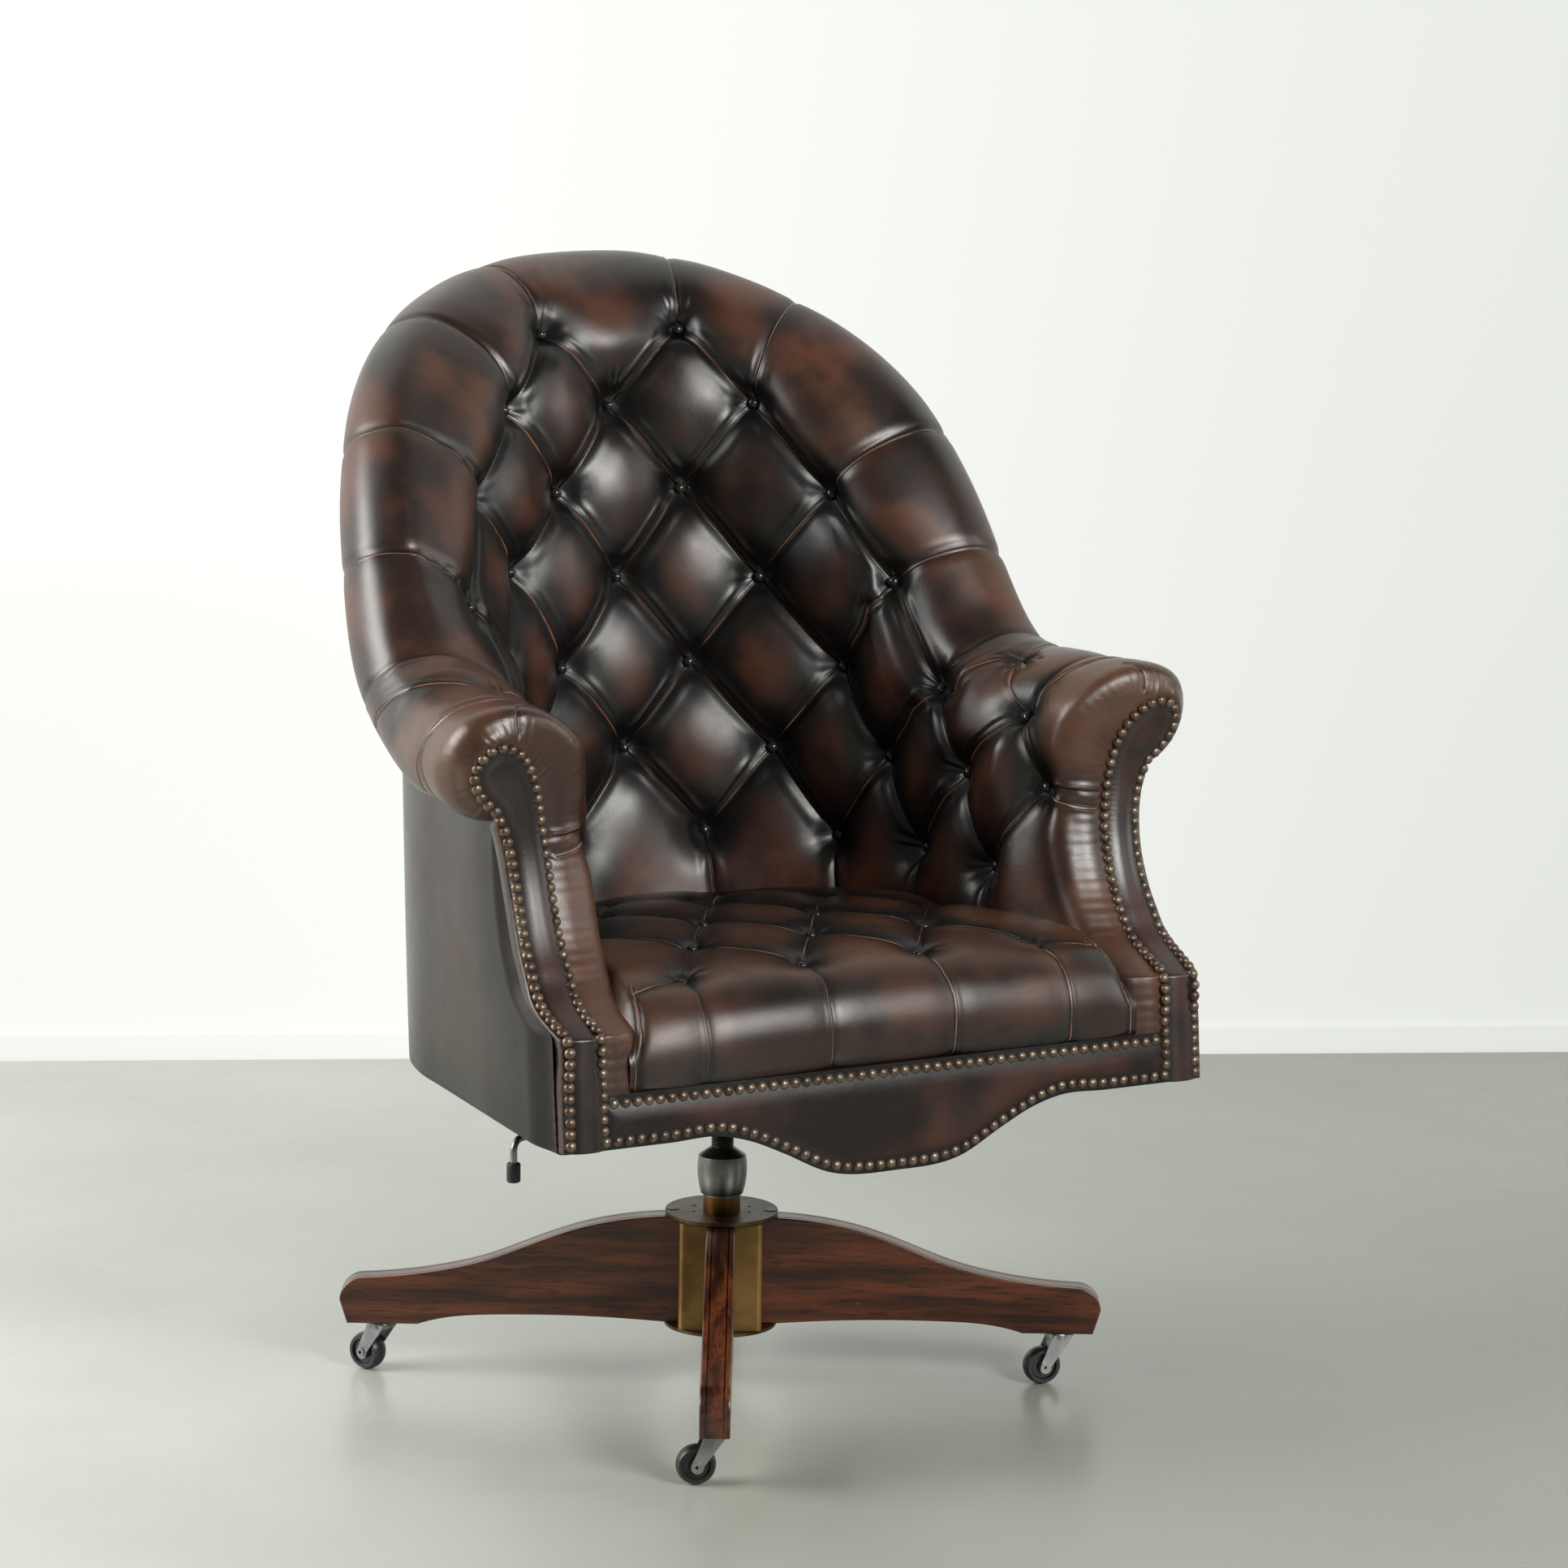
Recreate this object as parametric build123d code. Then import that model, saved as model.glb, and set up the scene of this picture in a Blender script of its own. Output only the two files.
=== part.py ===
from build123d import *
import os
from math import cos, hypot, pi, radians, sin, tan

os.makedirs("parts", exist_ok=True)

# A tufted leather office chair. Millimetres, +Z up, the origin on the floor under the swivel axis,
# the seat facing -Y. The four-legged base is turned under the seat as it was found.

# Fits and small gaps
overrun = 2.0
running_gap = 0.05
seat_gap = 0.3
clear_gap = 0.5

# Base and castors
base_turn = -29.74
leg_count = 4
leg_thick = 28.0
leg_reach = 369.0
leg_root_top = 163.0
leg_foot = 51.7
leg_groove_width = 1.4
leg_groove_depth = 1.0
leg_groove_inset = 6.0
leg_edge = 1.6
hub_width = 80.0
hub_wall = 4.0
hub_corner = 5.0
flange_radius = 54.5
flange_thick = 5.0
plate_thick = 3.0
screw_radius = 3.5
screw_head_radius = 6.5
screw_head_high = 2.4
screw_length = 24.0
plate_screw_length = 14.0
tube_radius = 18.0
tube_bore = 14.0
tube_top = 183.0
bush_length = 58.0
washer_thick = 2.0
castor_inset = 39.6
socket_radius = 6.5
socket_deep = 30.0
stem_radius = 4.8
wheel_radius = 18.5
wheel_width = 17.0
wheel_rim = 11.5
wheel_recess = 2.6
axle_radius = 3.2
axle_head_radius = 4.6
axle_head_high = 1.2
castor_trail = 17.0
fork_sheet = 2.0
fork_cap_radius = 12.0
fork_cap_drop = 6.0
castor_headings = (156.0, 167.0, 140.0, 115.0)

# Column
screw_lead = 2.5
drop_turns = 8
spindle_radius = 11.0
spindle_bottom = 84.0
shoulder_high = 262.0
journal_radius = 9.5
key_radius = 2.0
key_place = 152.0
key_deep = 3.0
collar_radius = 23.8
collar_end_radius = 20.5
collar_bottom = 185.1
collar_rim = 222.5
collar_top = 229.5
collar_neck_radius = 12.5

# Tilting mechanism
bracket_half = 46.0
bracket_front = 62.0
bracket_back = 104.0
bracket_sheet = 5.0
boss_radius = 20.0
boss_high = 26.0
nut_high = 8.0
nut_across = 30.0
axle_place = -25.0
axle_high = 335.0
tilt_axle_radius = 8.0
ear_round = 16.0
plate_half = 92.0
plate_front = 96.0
plate_back = 128.0
seat_plate_sheet = 4.0
seat_plate_high = 374.0
tilt_back = 12.0
spring_place = 75.0
spring_radius = 15.0
spring_wire = 4.0
spring_turns = 7
bolt_radius = 5.0
knob_radius = 19.0
knob_high = 18.0
knob_lobes = 6
cup_thick = 4.0
lever_radius = 3.2
lever_high = 322.0
lever_bend = 10.0
lever_root = (-62.0, -58.0)
lever_end = (-334.0, -218.0)
lever_drop = 34.0
grip_radius = 6.2
grip_length = 18.0

# Body of the seat
wall_lean = 6.8
lean_level = 586.0
hollow_radius = 230.0
hollow_centre = -20.0
arm_flare = 5.4
front_place = -317.4
front_level = 337.0
front_lean = 5.35
body_bottom = 331.5
front_tuck = 7.2
block_wide = 44.5
block_top = 431.0
shell_offset = 84.0
cover_thick = 3.0
dust_thick = 1.0
panel_thick = 12.0
panel_offset = 24.0
post_depth = 40.0
rail_thick = 26.0
deck_thick = 18.0
apron_top = 377.0
apron_thick = 8.0
apron_lobe_half = 177.0
apron_lobe_drop = 49.5
facing_thick = 10.0
sweep_back = 108.6
sweep_rise = 245.0
scroll_out = 13.5
scroll_drop = 4.0
scroll_radius = 27.5
scroll_join_turn = 40.0
scroll_neck_turn = 20.0
facing_half = 22.0

# Padding and tufts
row_rise = 84.3
first_row = 504.0
back_rows = 6
back_columns = 3
column_count = 9
back_pitch = 73.0
arm_pitch = 59.0
crown_deep = 28.0
pad_back = 23.0
roll_offset = 75.0
roll_flare = 19.0
roll_radius = 54.0
arm_roll_high = 657.0
back_roll_high = 1014.0
button_radius = 5.2
button_high = 4.0
seat_top = 478.0
seat_dimple = 14.0
seat_side = 452.0
seat_room = 23.0
seat_middle_half = 210.0
seat_front = -312.0
seat_back_radius = 200.0
tuft_pitch = 62.5
tuft_row = 95.0
tuft_front_row = -255.0

deck_low = seat_plate_high + seat_plate_sheet
rail_top = deck_low + deck_thick
pad_bottom = rail_top + seat_gap


def write(name, shape):
    """Stand the finished piece in its own file."""
    solids = shape.solids()
    whole = solids[0] if len(solids) == 1 else Compound(children=list(solids))
    export_step(whole, os.path.join("parts", name + ".step"))


def ring(outer, inner, bottom, top, x=0.0, y=0.0):
    """A round bush or washer on a vertical axis."""
    body = Pos(x, y, (bottom + top) / 2) * Cylinder(outer, top - bottom)
    return body - Pos(x, y, (bottom + top) / 2) * Cylinder(inner, top - bottom + 2 * overrun)


def rod(radius, bottom, top, x=0.0, y=0.0):
    """A round bar on a vertical axis."""
    return Pos(x, y, (bottom + top) / 2) * Cylinder(radius, top - bottom)


def cross_rod(radius, left, right, y, z):
    """A round bar along X."""
    return Pos((left + right) / 2, y, z) * Rot(0, 90, 0) * Cylinder(radius, right - left)


def slab(left, right, front, back, bottom, top):
    """A block between six faces."""
    middle = Pos((left + right) / 2, (front + back) / 2, (bottom + top) / 2)
    return middle * Box(right - left, back - front, top - bottom)


castor_place = leg_reach - castor_inset
leg_root_share = 0.055
side_face_share = 0.99
hub_top = leg_root_top
hub_bottom = leg_foot + leg_root_share * (leg_root_top - leg_foot)
flange_screw_place = (hub_width / 2 + flange_radius) / 2
small_place = (tube_radius + hub_width / 2) / 2
screw_levels = (hub_bottom + (hub_top - hub_bottom) / 4, hub_top - (hub_top - hub_bottom) / 3)

# Legs. The outline runs out from the hub face, as shares of the reach and of the height.
leg_top_shares = ((0.046, 1.0), (0.175, 0.961), (0.297, 0.882), (0.425, 0.748),
                  (0.58, 0.573), (0.693, 0.492), (0.78, 0.449), (0.93, 0.409))
leg_nose_shares = ((0.93, 0.409), (0.984, 0.335), (1.0, 0.21))
leg_tip_shares = ((1.0, 0.21), (0.978, 0.0))
leg_under_shares = ((0.769, 0.0), (0.693, 0.058), (0.5315, 0.095), (0.291, 0.095), (0.127, 0.072),
                    (0.046, 0.055))


def leg_point(share):
    """A place on the leg's outline, in the plane of the leg."""
    root = hub_width / 2
    return (root + share[0] * (leg_reach - root), leg_foot + share[1] * (leg_root_top - leg_foot))


def leg_outline():
    """The leg seen from its side."""
    with BuildSketch(Plane.XZ) as outline:
        with BuildLine():
            Spline(*[leg_point(s) for s in leg_top_shares])
            ThreePointArc(*[leg_point(s) for s in leg_nose_shares])
            Line(*[leg_point(s) for s in leg_tip_shares])
            Line(leg_point(leg_tip_shares[1]), leg_point(leg_under_shares[0]))
            Spline(*[leg_point(s) for s in leg_under_shares])
            Polyline(leg_point(leg_under_shares[-1]), leg_point((0, leg_root_share)), leg_point((0, 1)),
                     leg_point(leg_top_shares[0]))
        make_face()
    return outline.sketch


def leg_blank():
    """One leg along +X with eased edges, two grooves along its top and a socket for its castor."""
    face = leg_outline()
    body = extrude(face, leg_thick / 2, both=True)
    sides = [f for f in body.faces() if abs(f.normal_at().Y) > side_face_share]
    rim = [e for f in sides for e in f.edges()
           if e.center().X > hub_width / 2 + leg_edge and e.length > leg_thick / 4]
    body = fillet(rim, leg_edge)
    skin = face - Pos(-leg_groove_depth, 0, -leg_groove_depth) * face
    groove = extrude(skin, leg_groove_width / 2, both=True)
    for side in (-1, 1):
        body -= Pos(0, side * (leg_thick / 2 - leg_groove_inset), 0) * groove
    body -= rod(screw_radius, hub_top - screw_length, hub_top + overrun, flange_screw_place)
    body -= rod(screw_radius, hub_bottom - overrun, hub_bottom + screw_length / 2, flange_screw_place)
    for level in screw_levels:
        body -= Pos(hub_width / 2, 0, level) * Rot(0, 90, 0) * Cylinder(screw_radius, screw_length * 2)
    body -= rod(socket_radius, leg_foot - overrun, leg_foot + socket_deep, castor_place)
    return body


leg_names = ("front_leg", "right_leg", "back_leg", "left_leg")
castor_names = ("front", "right", "back", "left")


def leg_turn(index):
    """The angle of a leg about the axis, where 0 is along +X."""
    return base_turn - 90 + index * 360 / leg_count


blank = leg_blank()
for index, name in enumerate(leg_names):
    write(name, Rot(0, 0, leg_turn(index)) * blank)


def around(shape):
    """The same piece at each leg."""
    return [Rot(0, 0, leg_turn(i)) * shape for i in range(leg_count)]


# Hub: a square steel box between a round flange and a round bottom plate.
box_outer = Rot(0, 0, base_turn) * slab(-hub_width / 2, hub_width / 2, -hub_width / 2, hub_width / 2,
                                        hub_bottom, hub_top)
box_outer = fillet(box_outer.edges().filter_by(Axis.Z), hub_corner)
inner_half = hub_width / 2 - hub_wall
hub_box = box_outer - Rot(0, 0, base_turn) * slab(-inner_half, inner_half, -inner_half, inner_half,
                                                  hub_bottom - overrun, hub_top + overrun)
leg_screw = Compound(children=[
    Pos(inner_half, 0, level) * Rot(0, 90, 0)
    * (Pos(0, 0, screw_length / 2) * Cylinder(screw_radius, screw_length)
       + Pos(0, 0, -screw_head_high / 2) * Cylinder(screw_head_radius, screw_head_high))
    for level in screw_levels])
for place in around(leg_screw):
    hub_box -= place
write("hub_box", hub_box)
leg_screws = [solid for whole in around(leg_screw) for solid in whole.solids()]

tube_low = hub_bottom + plate_thick
column = ring(tube_radius, tube_bore, tube_low, tube_top)
key_bar = Pos(0, -(tube_radius + spindle_radius - key_deep + clear_gap) / 2, key_place) * Rot(90, 0, 0) \
    * Cylinder(key_radius, tube_radius - spindle_radius + key_deep - clear_gap)
column -= key_bar
write("column_tube", column)
bush = ring(tube_bore, spindle_radius + running_gap, tube_top - bush_length, tube_top)
write("column_bush", bush - key_bar)
write("key_pin", key_bar)

flange = ring(flange_radius, tube_radius, hub_top, hub_top + flange_thick)
flange = fillet(flange.edges().filter_by(GeomType.CIRCLE).sort_by(SortBy.RADIUS)[-1:], leg_edge)
flange_screw = rod(screw_radius, hub_top - screw_length / 2, hub_top + flange_thick - screw_head_high,
                   flange_screw_place)
flange_head = rod(screw_head_radius, hub_top + flange_thick - screw_head_high,
                  hub_top + flange_thick + screw_head_high / 4, flange_screw_place)
for shape in around(flange_screw + flange_head):
    flange -= shape
small_hole = rod(screw_radius / 2, hub_top - overrun, hub_top + flange_thick + overrun, small_place)
for index in range(leg_count):
    for side in (-1, 1):
        flange -= Rot(0, 0, leg_turn(index) + side * 90 / leg_count) * small_hole
write("hub_flange", flange)

bottom_plate = rod(flange_radius, hub_bottom - plate_thick, hub_bottom)
under_screw = rod(screw_radius, hub_bottom - plate_thick, hub_bottom + screw_length / 2, flange_screw_place)
under_head = rod(screw_head_radius, hub_bottom - plate_thick - screw_head_high, hub_bottom - plate_thick,
                 flange_screw_place)
for shape in around(under_screw):
    bottom_plate -= shape
write("hub_bottom_plate", bottom_plate)
plate_and_flange_screws = around(flange_screw + flange_head) + around(under_screw + under_head)
write("hub_screws", Compound(children=leg_screws + plate_and_flange_screws))

# Castors: a stem and cap riveted to a pressed fork, a wheel behind the stem and its axle.
fork_inner = wheel_width / 2 + seat_gap
fork_outer = fork_inner + fork_sheet
cap_bottom = leg_foot - seat_gap - fork_cap_drop
wheel_dish_share = 0.62


def castor_fork():
    """The fork with its stem, the stem at the origin and the wheel trailing along +X."""
    body = rod(fork_cap_radius, cap_bottom, leg_foot - seat_gap)
    body = fillet(body.edges().filter_by(GeomType.CIRCLE).sort_by(Axis.Z)[-1:], fork_sheet)
    body += rod(stem_radius, leg_foot - fork_cap_drop, leg_foot + socket_deep - overrun)
    cheek_top = leg_foot - seat_gap - fork_sheet
    with BuildSketch(Plane.XZ) as cheek:
        with BuildLine():
            Line((-fork_cap_radius, cheek_top), (castor_trail / 2, cheek_top))
            Line((castor_trail / 2, cheek_top), (castor_trail + axle_head_radius, wheel_radius + fork_sheet))
            ThreePointArc((castor_trail + axle_head_radius, wheel_radius + fork_sheet),
                          (castor_trail, wheel_radius - axle_head_radius - fork_sheet),
                          (castor_trail - axle_head_radius - fork_sheet, wheel_radius))
            Line((castor_trail - axle_head_radius - fork_sheet, wheel_radius), (-fork_cap_radius, cheek_top))
        make_face()
    plate = extrude(cheek.sketch, fork_sheet)
    body += Pos(0, fork_outer, 0) * plate
    body += Pos(0, -fork_inner, 0) * plate
    bridge = slab(-fork_cap_radius, castor_trail / 2, -fork_outer, fork_outer, cheek_top - fork_sheet,
                  cheek_top)
    body += bridge & rod(fork_outer + fork_sheet, cap_bottom - fork_sheet, cheek_top + overrun)
    body -= cross_bar(axle_radius + running_gap, fork_outer + overrun)
    return body - wheel_room()


def cross_bar(radius, half):
    """A bar across the fork on the wheel's axis."""
    return Pos(castor_trail, 0, wheel_radius) * Rot(90, 0, 0) * Cylinder(radius, 2 * half)


def wheel_room():
    """The space that the wheel turns in."""
    return cross_bar(wheel_radius + clear_gap, fork_inner)


def castor_wheel():
    """A tyre with rounded shoulders and a dished hub."""
    half, bore, shoulder = wheel_width / 2, axle_radius + running_gap, wheel_radius - wheel_recess
    dish = wheel_rim * wheel_dish_share
    with BuildSketch(Plane.XY) as half_section:
        with BuildLine():
            Polyline((bore, -half), (wheel_rim / 2, -half), (dish, wheel_recess - half),
                     (wheel_rim, wheel_recess - half), (wheel_rim + wheel_recess / 2, -half),
                     (shoulder, -half))
            ThreePointArc((shoulder, -half), (wheel_radius, 0), (shoulder, half))
            Polyline((shoulder, half), (wheel_rim + wheel_recess / 2, half), (wheel_rim, half - wheel_recess),
                     (dish, half - wheel_recess), (wheel_rim / 2, half), (bore, half), (bore, -half))
        make_face()
    return Pos(castor_trail, 0, wheel_radius) * revolve(half_section.sketch, Axis.Y)


def castor_axle():
    """A hollow rivet through the fork and the wheel."""
    body = cross_bar(axle_radius, fork_outer)
    for side in (-1, 1):
        head = Rot(90, 0, 0) * Cylinder(axle_head_radius, axle_head_high)
        body += Pos(castor_trail, side * (fork_outer + axle_head_high / 2), wheel_radius) * head
    return body - cross_bar(axle_radius / 2, fork_outer + overrun)


fork, wheel, axle = castor_fork(), castor_wheel(), castor_axle()
for index, name in enumerate(castor_names):
    turn = radians(leg_turn(index))
    place = Pos(castor_place * cos(turn), castor_place * sin(turn), 0) * Rot(0, 0, castor_headings[index])
    write(name + "_castor_fork", place * fork)
    write(name + "_castor_wheel", place * wheel)
    write(name + "_castor_axle", place * axle)
socket = ring(socket_radius, stem_radius + running_gap, leg_foot, leg_foot + socket_deep, castor_place)
write("castor_sockets", Compound(children=around(socket)))

# Column: the keyed screw, the collar that is the nut on it and the washer under the collar.
spindle = rod(spindle_radius, spindle_bottom, shoulder_high)
journal_top = shoulder_high + washer_thick + bracket_sheet + boss_high + nut_high
spindle += rod(journal_radius, shoulder_high, journal_top)
spindle -= slab(-key_radius - clear_gap, key_radius + clear_gap, -spindle_radius - overrun,
                key_deep - spindle_radius, spindle_bottom - overrun,
                key_place + drop_turns * screw_lead + 3 * key_radius)
write("spindle", spindle)
write("thrust_washer", ring(tube_radius - clear_gap, spindle_radius + clear_gap, tube_top,
                            tube_top + washer_thick))
with BuildSketch(Plane.XZ) as collar_section:
    with BuildLine():
        bore = spindle_radius + running_gap
        Line((bore, collar_bottom), (collar_end_radius, collar_bottom))
        ThreePointArc((collar_end_radius, collar_bottom), (collar_radius, (collar_bottom + collar_rim) / 2),
                      (collar_radius - overrun / 2, collar_rim))
        Polyline((collar_radius - overrun / 2, collar_rim), (collar_neck_radius, collar_top),
                 (bore, collar_top), (bore, collar_bottom))
    make_face()
write("height_collar", revolve(collar_section.sketch, Axis.Z))
write("swivel_washer", ring(boss_radius, journal_radius + running_gap, shoulder_high,
                            shoulder_high + washer_thick))
nut_low = shoulder_high + washer_thick + seat_gap + bracket_sheet + boss_high
nut = extrude(Plane.XY.offset(nut_low) * RegularPolygon(nut_across / 2, 6), journal_top - nut_low)
write("spindle_nut", nut - rod(journal_radius, nut_low - overrun, journal_top + overrun))

# Tilting mechanism: a pressed bracket on the spindle, an axle through its ears and the plate above.
bracket_low = shoulder_high + washer_thick + seat_gap
bracket_floor = bracket_low + bracket_sheet


def ear_profile(front, back, low, lift):
    """The side of an ear: a flat foot that rises to a round end about the axle."""
    with BuildSketch(Plane.YZ) as side:
        with Locations((axle_place, axle_high)):
            Circle(ear_round)
        with BuildLine():
            Polyline((front, low), (front, low + lift), (axle_place - ear_round, axle_high),
                     (axle_place + ear_round, axle_high), (back, low + lift), (back, low), (front, low))
        make_face()
    return side.sketch


bracket = slab(-bracket_half, bracket_half, -bracket_front, bracket_back, bracket_low, bracket_floor)
ear_face = ear_profile(-bracket_front, bracket_back, bracket_low, 3 * bracket_sheet)
bracket += Pos(bracket_half - bracket_sheet, 0, 0) * extrude(ear_face, bracket_sheet)
bracket += Pos(-bracket_half, 0, 0) * extrude(ear_face, bracket_sheet)
bracket += rod(boss_radius, bracket_floor, bracket_floor + boss_high)
bracket -= rod(journal_radius + running_gap, bracket_low - overrun, bracket_floor + boss_high + overrun)
bracket -= cross_rod(tilt_axle_radius + running_gap, -bracket_half - overrun, bracket_half + overrun,
                     axle_place, axle_high)
bracket -= rod(bolt_radius + running_gap, bracket_low - overrun, bracket_floor + overrun, 0, spring_place)
write("tilt_bracket", bracket)

flange_inner = bracket_half + clear_gap
flange_outer = flange_inner + seat_plate_sheet
seat_plate = slab(-plate_half, plate_half, -plate_front, plate_back, seat_plate_high,
                  seat_plate_high + seat_plate_sheet)
with BuildSketch(Plane.YZ) as flange_side:
    with Locations((axle_place, axle_high)):
        Circle(ear_round)
    with BuildLine():
        Polyline((axle_place - 2 * ear_round, seat_plate_high), (axle_place - ear_round, axle_high),
                 (axle_place + ear_round, axle_high), (axle_place + 2 * ear_round, seat_plate_high),
                 (axle_place - 2 * ear_round, seat_plate_high))
    make_face()
seat_plate += Pos(flange_inner, 0, 0) * extrude(flange_side.sketch, seat_plate_sheet)
seat_plate += Pos(-flange_outer, 0, 0) * extrude(flange_side.sketch, seat_plate_sheet)
seat_plate -= cross_rod(tilt_axle_radius, -flange_outer - overrun, flange_outer + overrun, axle_place,
                        axle_high)
plate_screw_x = plate_half - 2 * screw_head_radius
plate_screw_places = [(side * plate_screw_x, place) for side in (-1, 1)
                      for place in (2 * screw_head_radius - plate_front, plate_back - 2 * screw_head_radius)]
plate_screws = []
for x, y in plate_screw_places:
    shank = rod(screw_radius, seat_plate_high, seat_plate_high + seat_plate_sheet + plate_screw_length, x, y)
    seat_plate -= shank
    head = rod(screw_head_radius, seat_plate_high - screw_head_high, seat_plate_high, x, y)
    plate_screws.append(shank + head)
axle_half = flange_outer + axle_head_radius
write("tilt_axle", cross_rod(tilt_axle_radius, -axle_half, axle_half, axle_place, axle_high))
write("plate_screws", Compound(children=plate_screws))

# The spring stands round its bolt behind the axle, on a cup that the knob raises.
cup_low = bracket_floor + seat_gap
cup_top = cup_low + cup_thick
spring_top = seat_plate_high - seat_gap
write("spring_cup", ring(spring_radius + spring_wire, bolt_radius + running_gap, cup_low, cup_top, 0,
                         spring_place))
coil_low = cup_top + spring_wire / 2 + seat_gap
coil_top = spring_top - spring_wire / 2
coil_pitch = (coil_top - coil_low) / spring_turns
coil_path = Pos(0, spring_place, coil_low) * Helix(coil_pitch, coil_top - coil_low, spring_radius)
coil_start = Plane(origin=coil_path @ 0, z_dir=coil_path % 0)
spring = sweep(coil_start * Circle(spring_wire / 2), path=coil_path, is_frenet=True)
print("spring gap between turns", round(coil_pitch - spring_wire, 2))
write("tension_spring", spring)

knob_top = bracket_low - seat_gap
knob = rod(knob_radius - bolt_radius / 2, knob_top - knob_high, knob_top, 0, spring_place)
for index in range(knob_lobes):
    angle = 2 * pi * index / knob_lobes
    lobe_place = knob_radius - bolt_radius
    knob += rod(bolt_radius, knob_top - knob_high, knob_top, lobe_place * cos(angle),
                spring_place + lobe_place * sin(angle))
bolt_end = seat_plate_high - (plate_back - axle_place) * sin(radians(tilt_back)) - clear_gap
bolt = rod(bolt_radius, knob_top - knob_high / 2, bolt_end, 0, spring_place)
write("tension_knob", knob - bolt)
write("tension_bolt", bolt)

# The lever: a bar to the left of the seat with a crank at each end and a rubber tip.
lever_dx, lever_dy = lever_end[0] - lever_root[0], lever_end[1] - lever_root[1]
lever_run = hypot(lever_dx, lever_dy)
lever_plane = Plane(origin=(lever_root[0], lever_root[1], lever_high), x_dir=(lever_dx, lever_dy, 0),
                    z_dir=(lever_dy, -lever_dx, 0))
with BuildLine(lever_plane) as lever_path:
    FilletPolyline((0, 0), (lever_run, 0), (lever_run, -lever_drop), radius=lever_bend)
lever_section = Plane(origin=lever_plane.origin, z_dir=lever_plane.x_dir) * Circle(lever_radius)
lever = sweep(lever_section, path=lever_path.wire())
print("lever volume over section times length",
      round(lever.volume / (pi * lever_radius ** 2 * lever_path.wire().length), 4))
lever_tip_z = lever_high - lever_drop
grip_low = lever_tip_z - seat_plate_sheet
grip = rod(grip_radius, grip_low, grip_low + grip_length, *lever_end)
grip = fillet(grip.edges(), grip_radius / 3)
write("lever_grip", grip - rod(lever_radius, lever_tip_z, grip_low + grip_length + overrun, *lever_end))
along = Plane(origin=lever_plane.origin, x_dir=(0, 0, 1), z_dir=lever_plane.x_dir)
finger = along * Pos(0, 0, lever_radius) * Box(4 * lever_radius, 2 * lever_radius, 2 * lever_radius)
lever += finger
write("tilt_lever", lever)
block_place = along * Pos(0, 0, 3 * lever_radius + grip_radius)
block = block_place * Box(2 * grip_radius, 2 * grip_radius, grip_radius)
seat_plate += block + slab(block.center().X - lever_radius, block.center().X + lever_radius,
                           block.center().Y - lever_radius, block.center().Y + lever_radius,
                           lever_high + grip_radius / 2, seat_plate_high + seat_plate_sheet / 2)
seat_plate -= block_place * Cylinder(lever_radius + running_gap, grip_radius + overrun)
write("seat_plate", seat_plate)

# The tub. Its hollow line runs round the buttons: a half circle behind, a flared line along each arm.
quarter_run = pi / 2 * hollow_radius
arm_length = (hollow_centre - front_place) / cos(radians(arm_flare))
front_run = quarter_run + arm_length
flare = radians(arm_flare)
body_front_half = hollow_radius + arm_length * sin(flare) + shell_offset * cos(flare) - front_tuck
block_inner_half = body_front_half - block_wide
seat_front_half = block_inner_half - seat_room
lean_slope = tan(radians(wall_lean))
rim_shares = ((0.0, 1.0), (0.11, 0.997), (0.22, 0.978), (0.33, 0.933), (0.44, 0.877), (0.56, 0.79),
              (0.67, 0.653), (0.725, 0.535), (0.78, 0.4), (0.835, 0.25), (0.89, 0.137), (0.945, 0.08),
              (1.0, 0.045), (1.15, 0.0), (9.9, 0.0))
rim_runs = [share * quarter_run for share, _ in rim_shares[:-1]]
arm_shares = (0.45, 0.75, 1.0)
rim_runs += [quarter_run + arm_length * share for share in arm_shares]


def column_run(index):
    """How far round the hollow a column of tufts lies."""
    return min(index, back_columns) * back_pitch + max(index - back_columns, 0) * arm_pitch


def rim_level(run):
    """The height of the middle of the roll."""
    share = abs(run) / quarter_run
    for (low, before), (high, after) in zip(rim_shares, rim_shares[1:]):
        if share <= high:
            part = before + (after - before) * (share - low) / (high - low)
            return arm_roll_high + part * (back_roll_high - arm_roll_high)
    return arm_roll_high


def station(run):
    """A place on the hollow line with the way outwards and the share of the lean there."""
    side, ahead = (1 if run >= 0 else -1), abs(run) - quarter_run
    if ahead <= 0:
        angle = abs(run) / hollow_radius
        return (side * hollow_radius * sin(angle), hollow_centre + hollow_radius * cos(angle),
                side * sin(angle), cos(angle), cos(angle))
    return (side * (hollow_radius + ahead * sin(flare)), hollow_centre - ahead * cos(flare),
            side * cos(flare), sin(flare), 0)


def wall_point(run, out, level):
    """A place so far outside the hollow line, at a level, on the leaning wall."""
    x, y, way_x, way_y, lean = station(run)
    return Vector(x + way_x * out, y + way_y * out + (level - lean_level) * lean_slope * lean, level)


def both_sides(runs):
    """The stations from the left to the right."""
    return sorted({-run for run in runs} | set(runs) | {0.0})


def wall_loft(runs, inner, outer, low, high):
    """A wall between two distances from the hollow line, from a level up to a height at each station."""
    wires = []
    for run in runs:
        corners = ((inner, low), (outer, low), (outer, high(run)), (inner, high(run)))
        wires.append(Wire.make_polygon([wall_point(run, *corner) for corner in corners], close=True))
    return Solid.make_loft(wires, ruled=True)


# The roll's section: where it starts on the wall, then shares of its radius outwards and upwards
roll_low_share = 0.83
throat_shares = (0.8, 0.5)
roll_shares = ((-0.1, 1.0), (0.69, 0.72), (1.0, 0.0), (0.76, -0.65), (0.19, -0.98))


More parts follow.
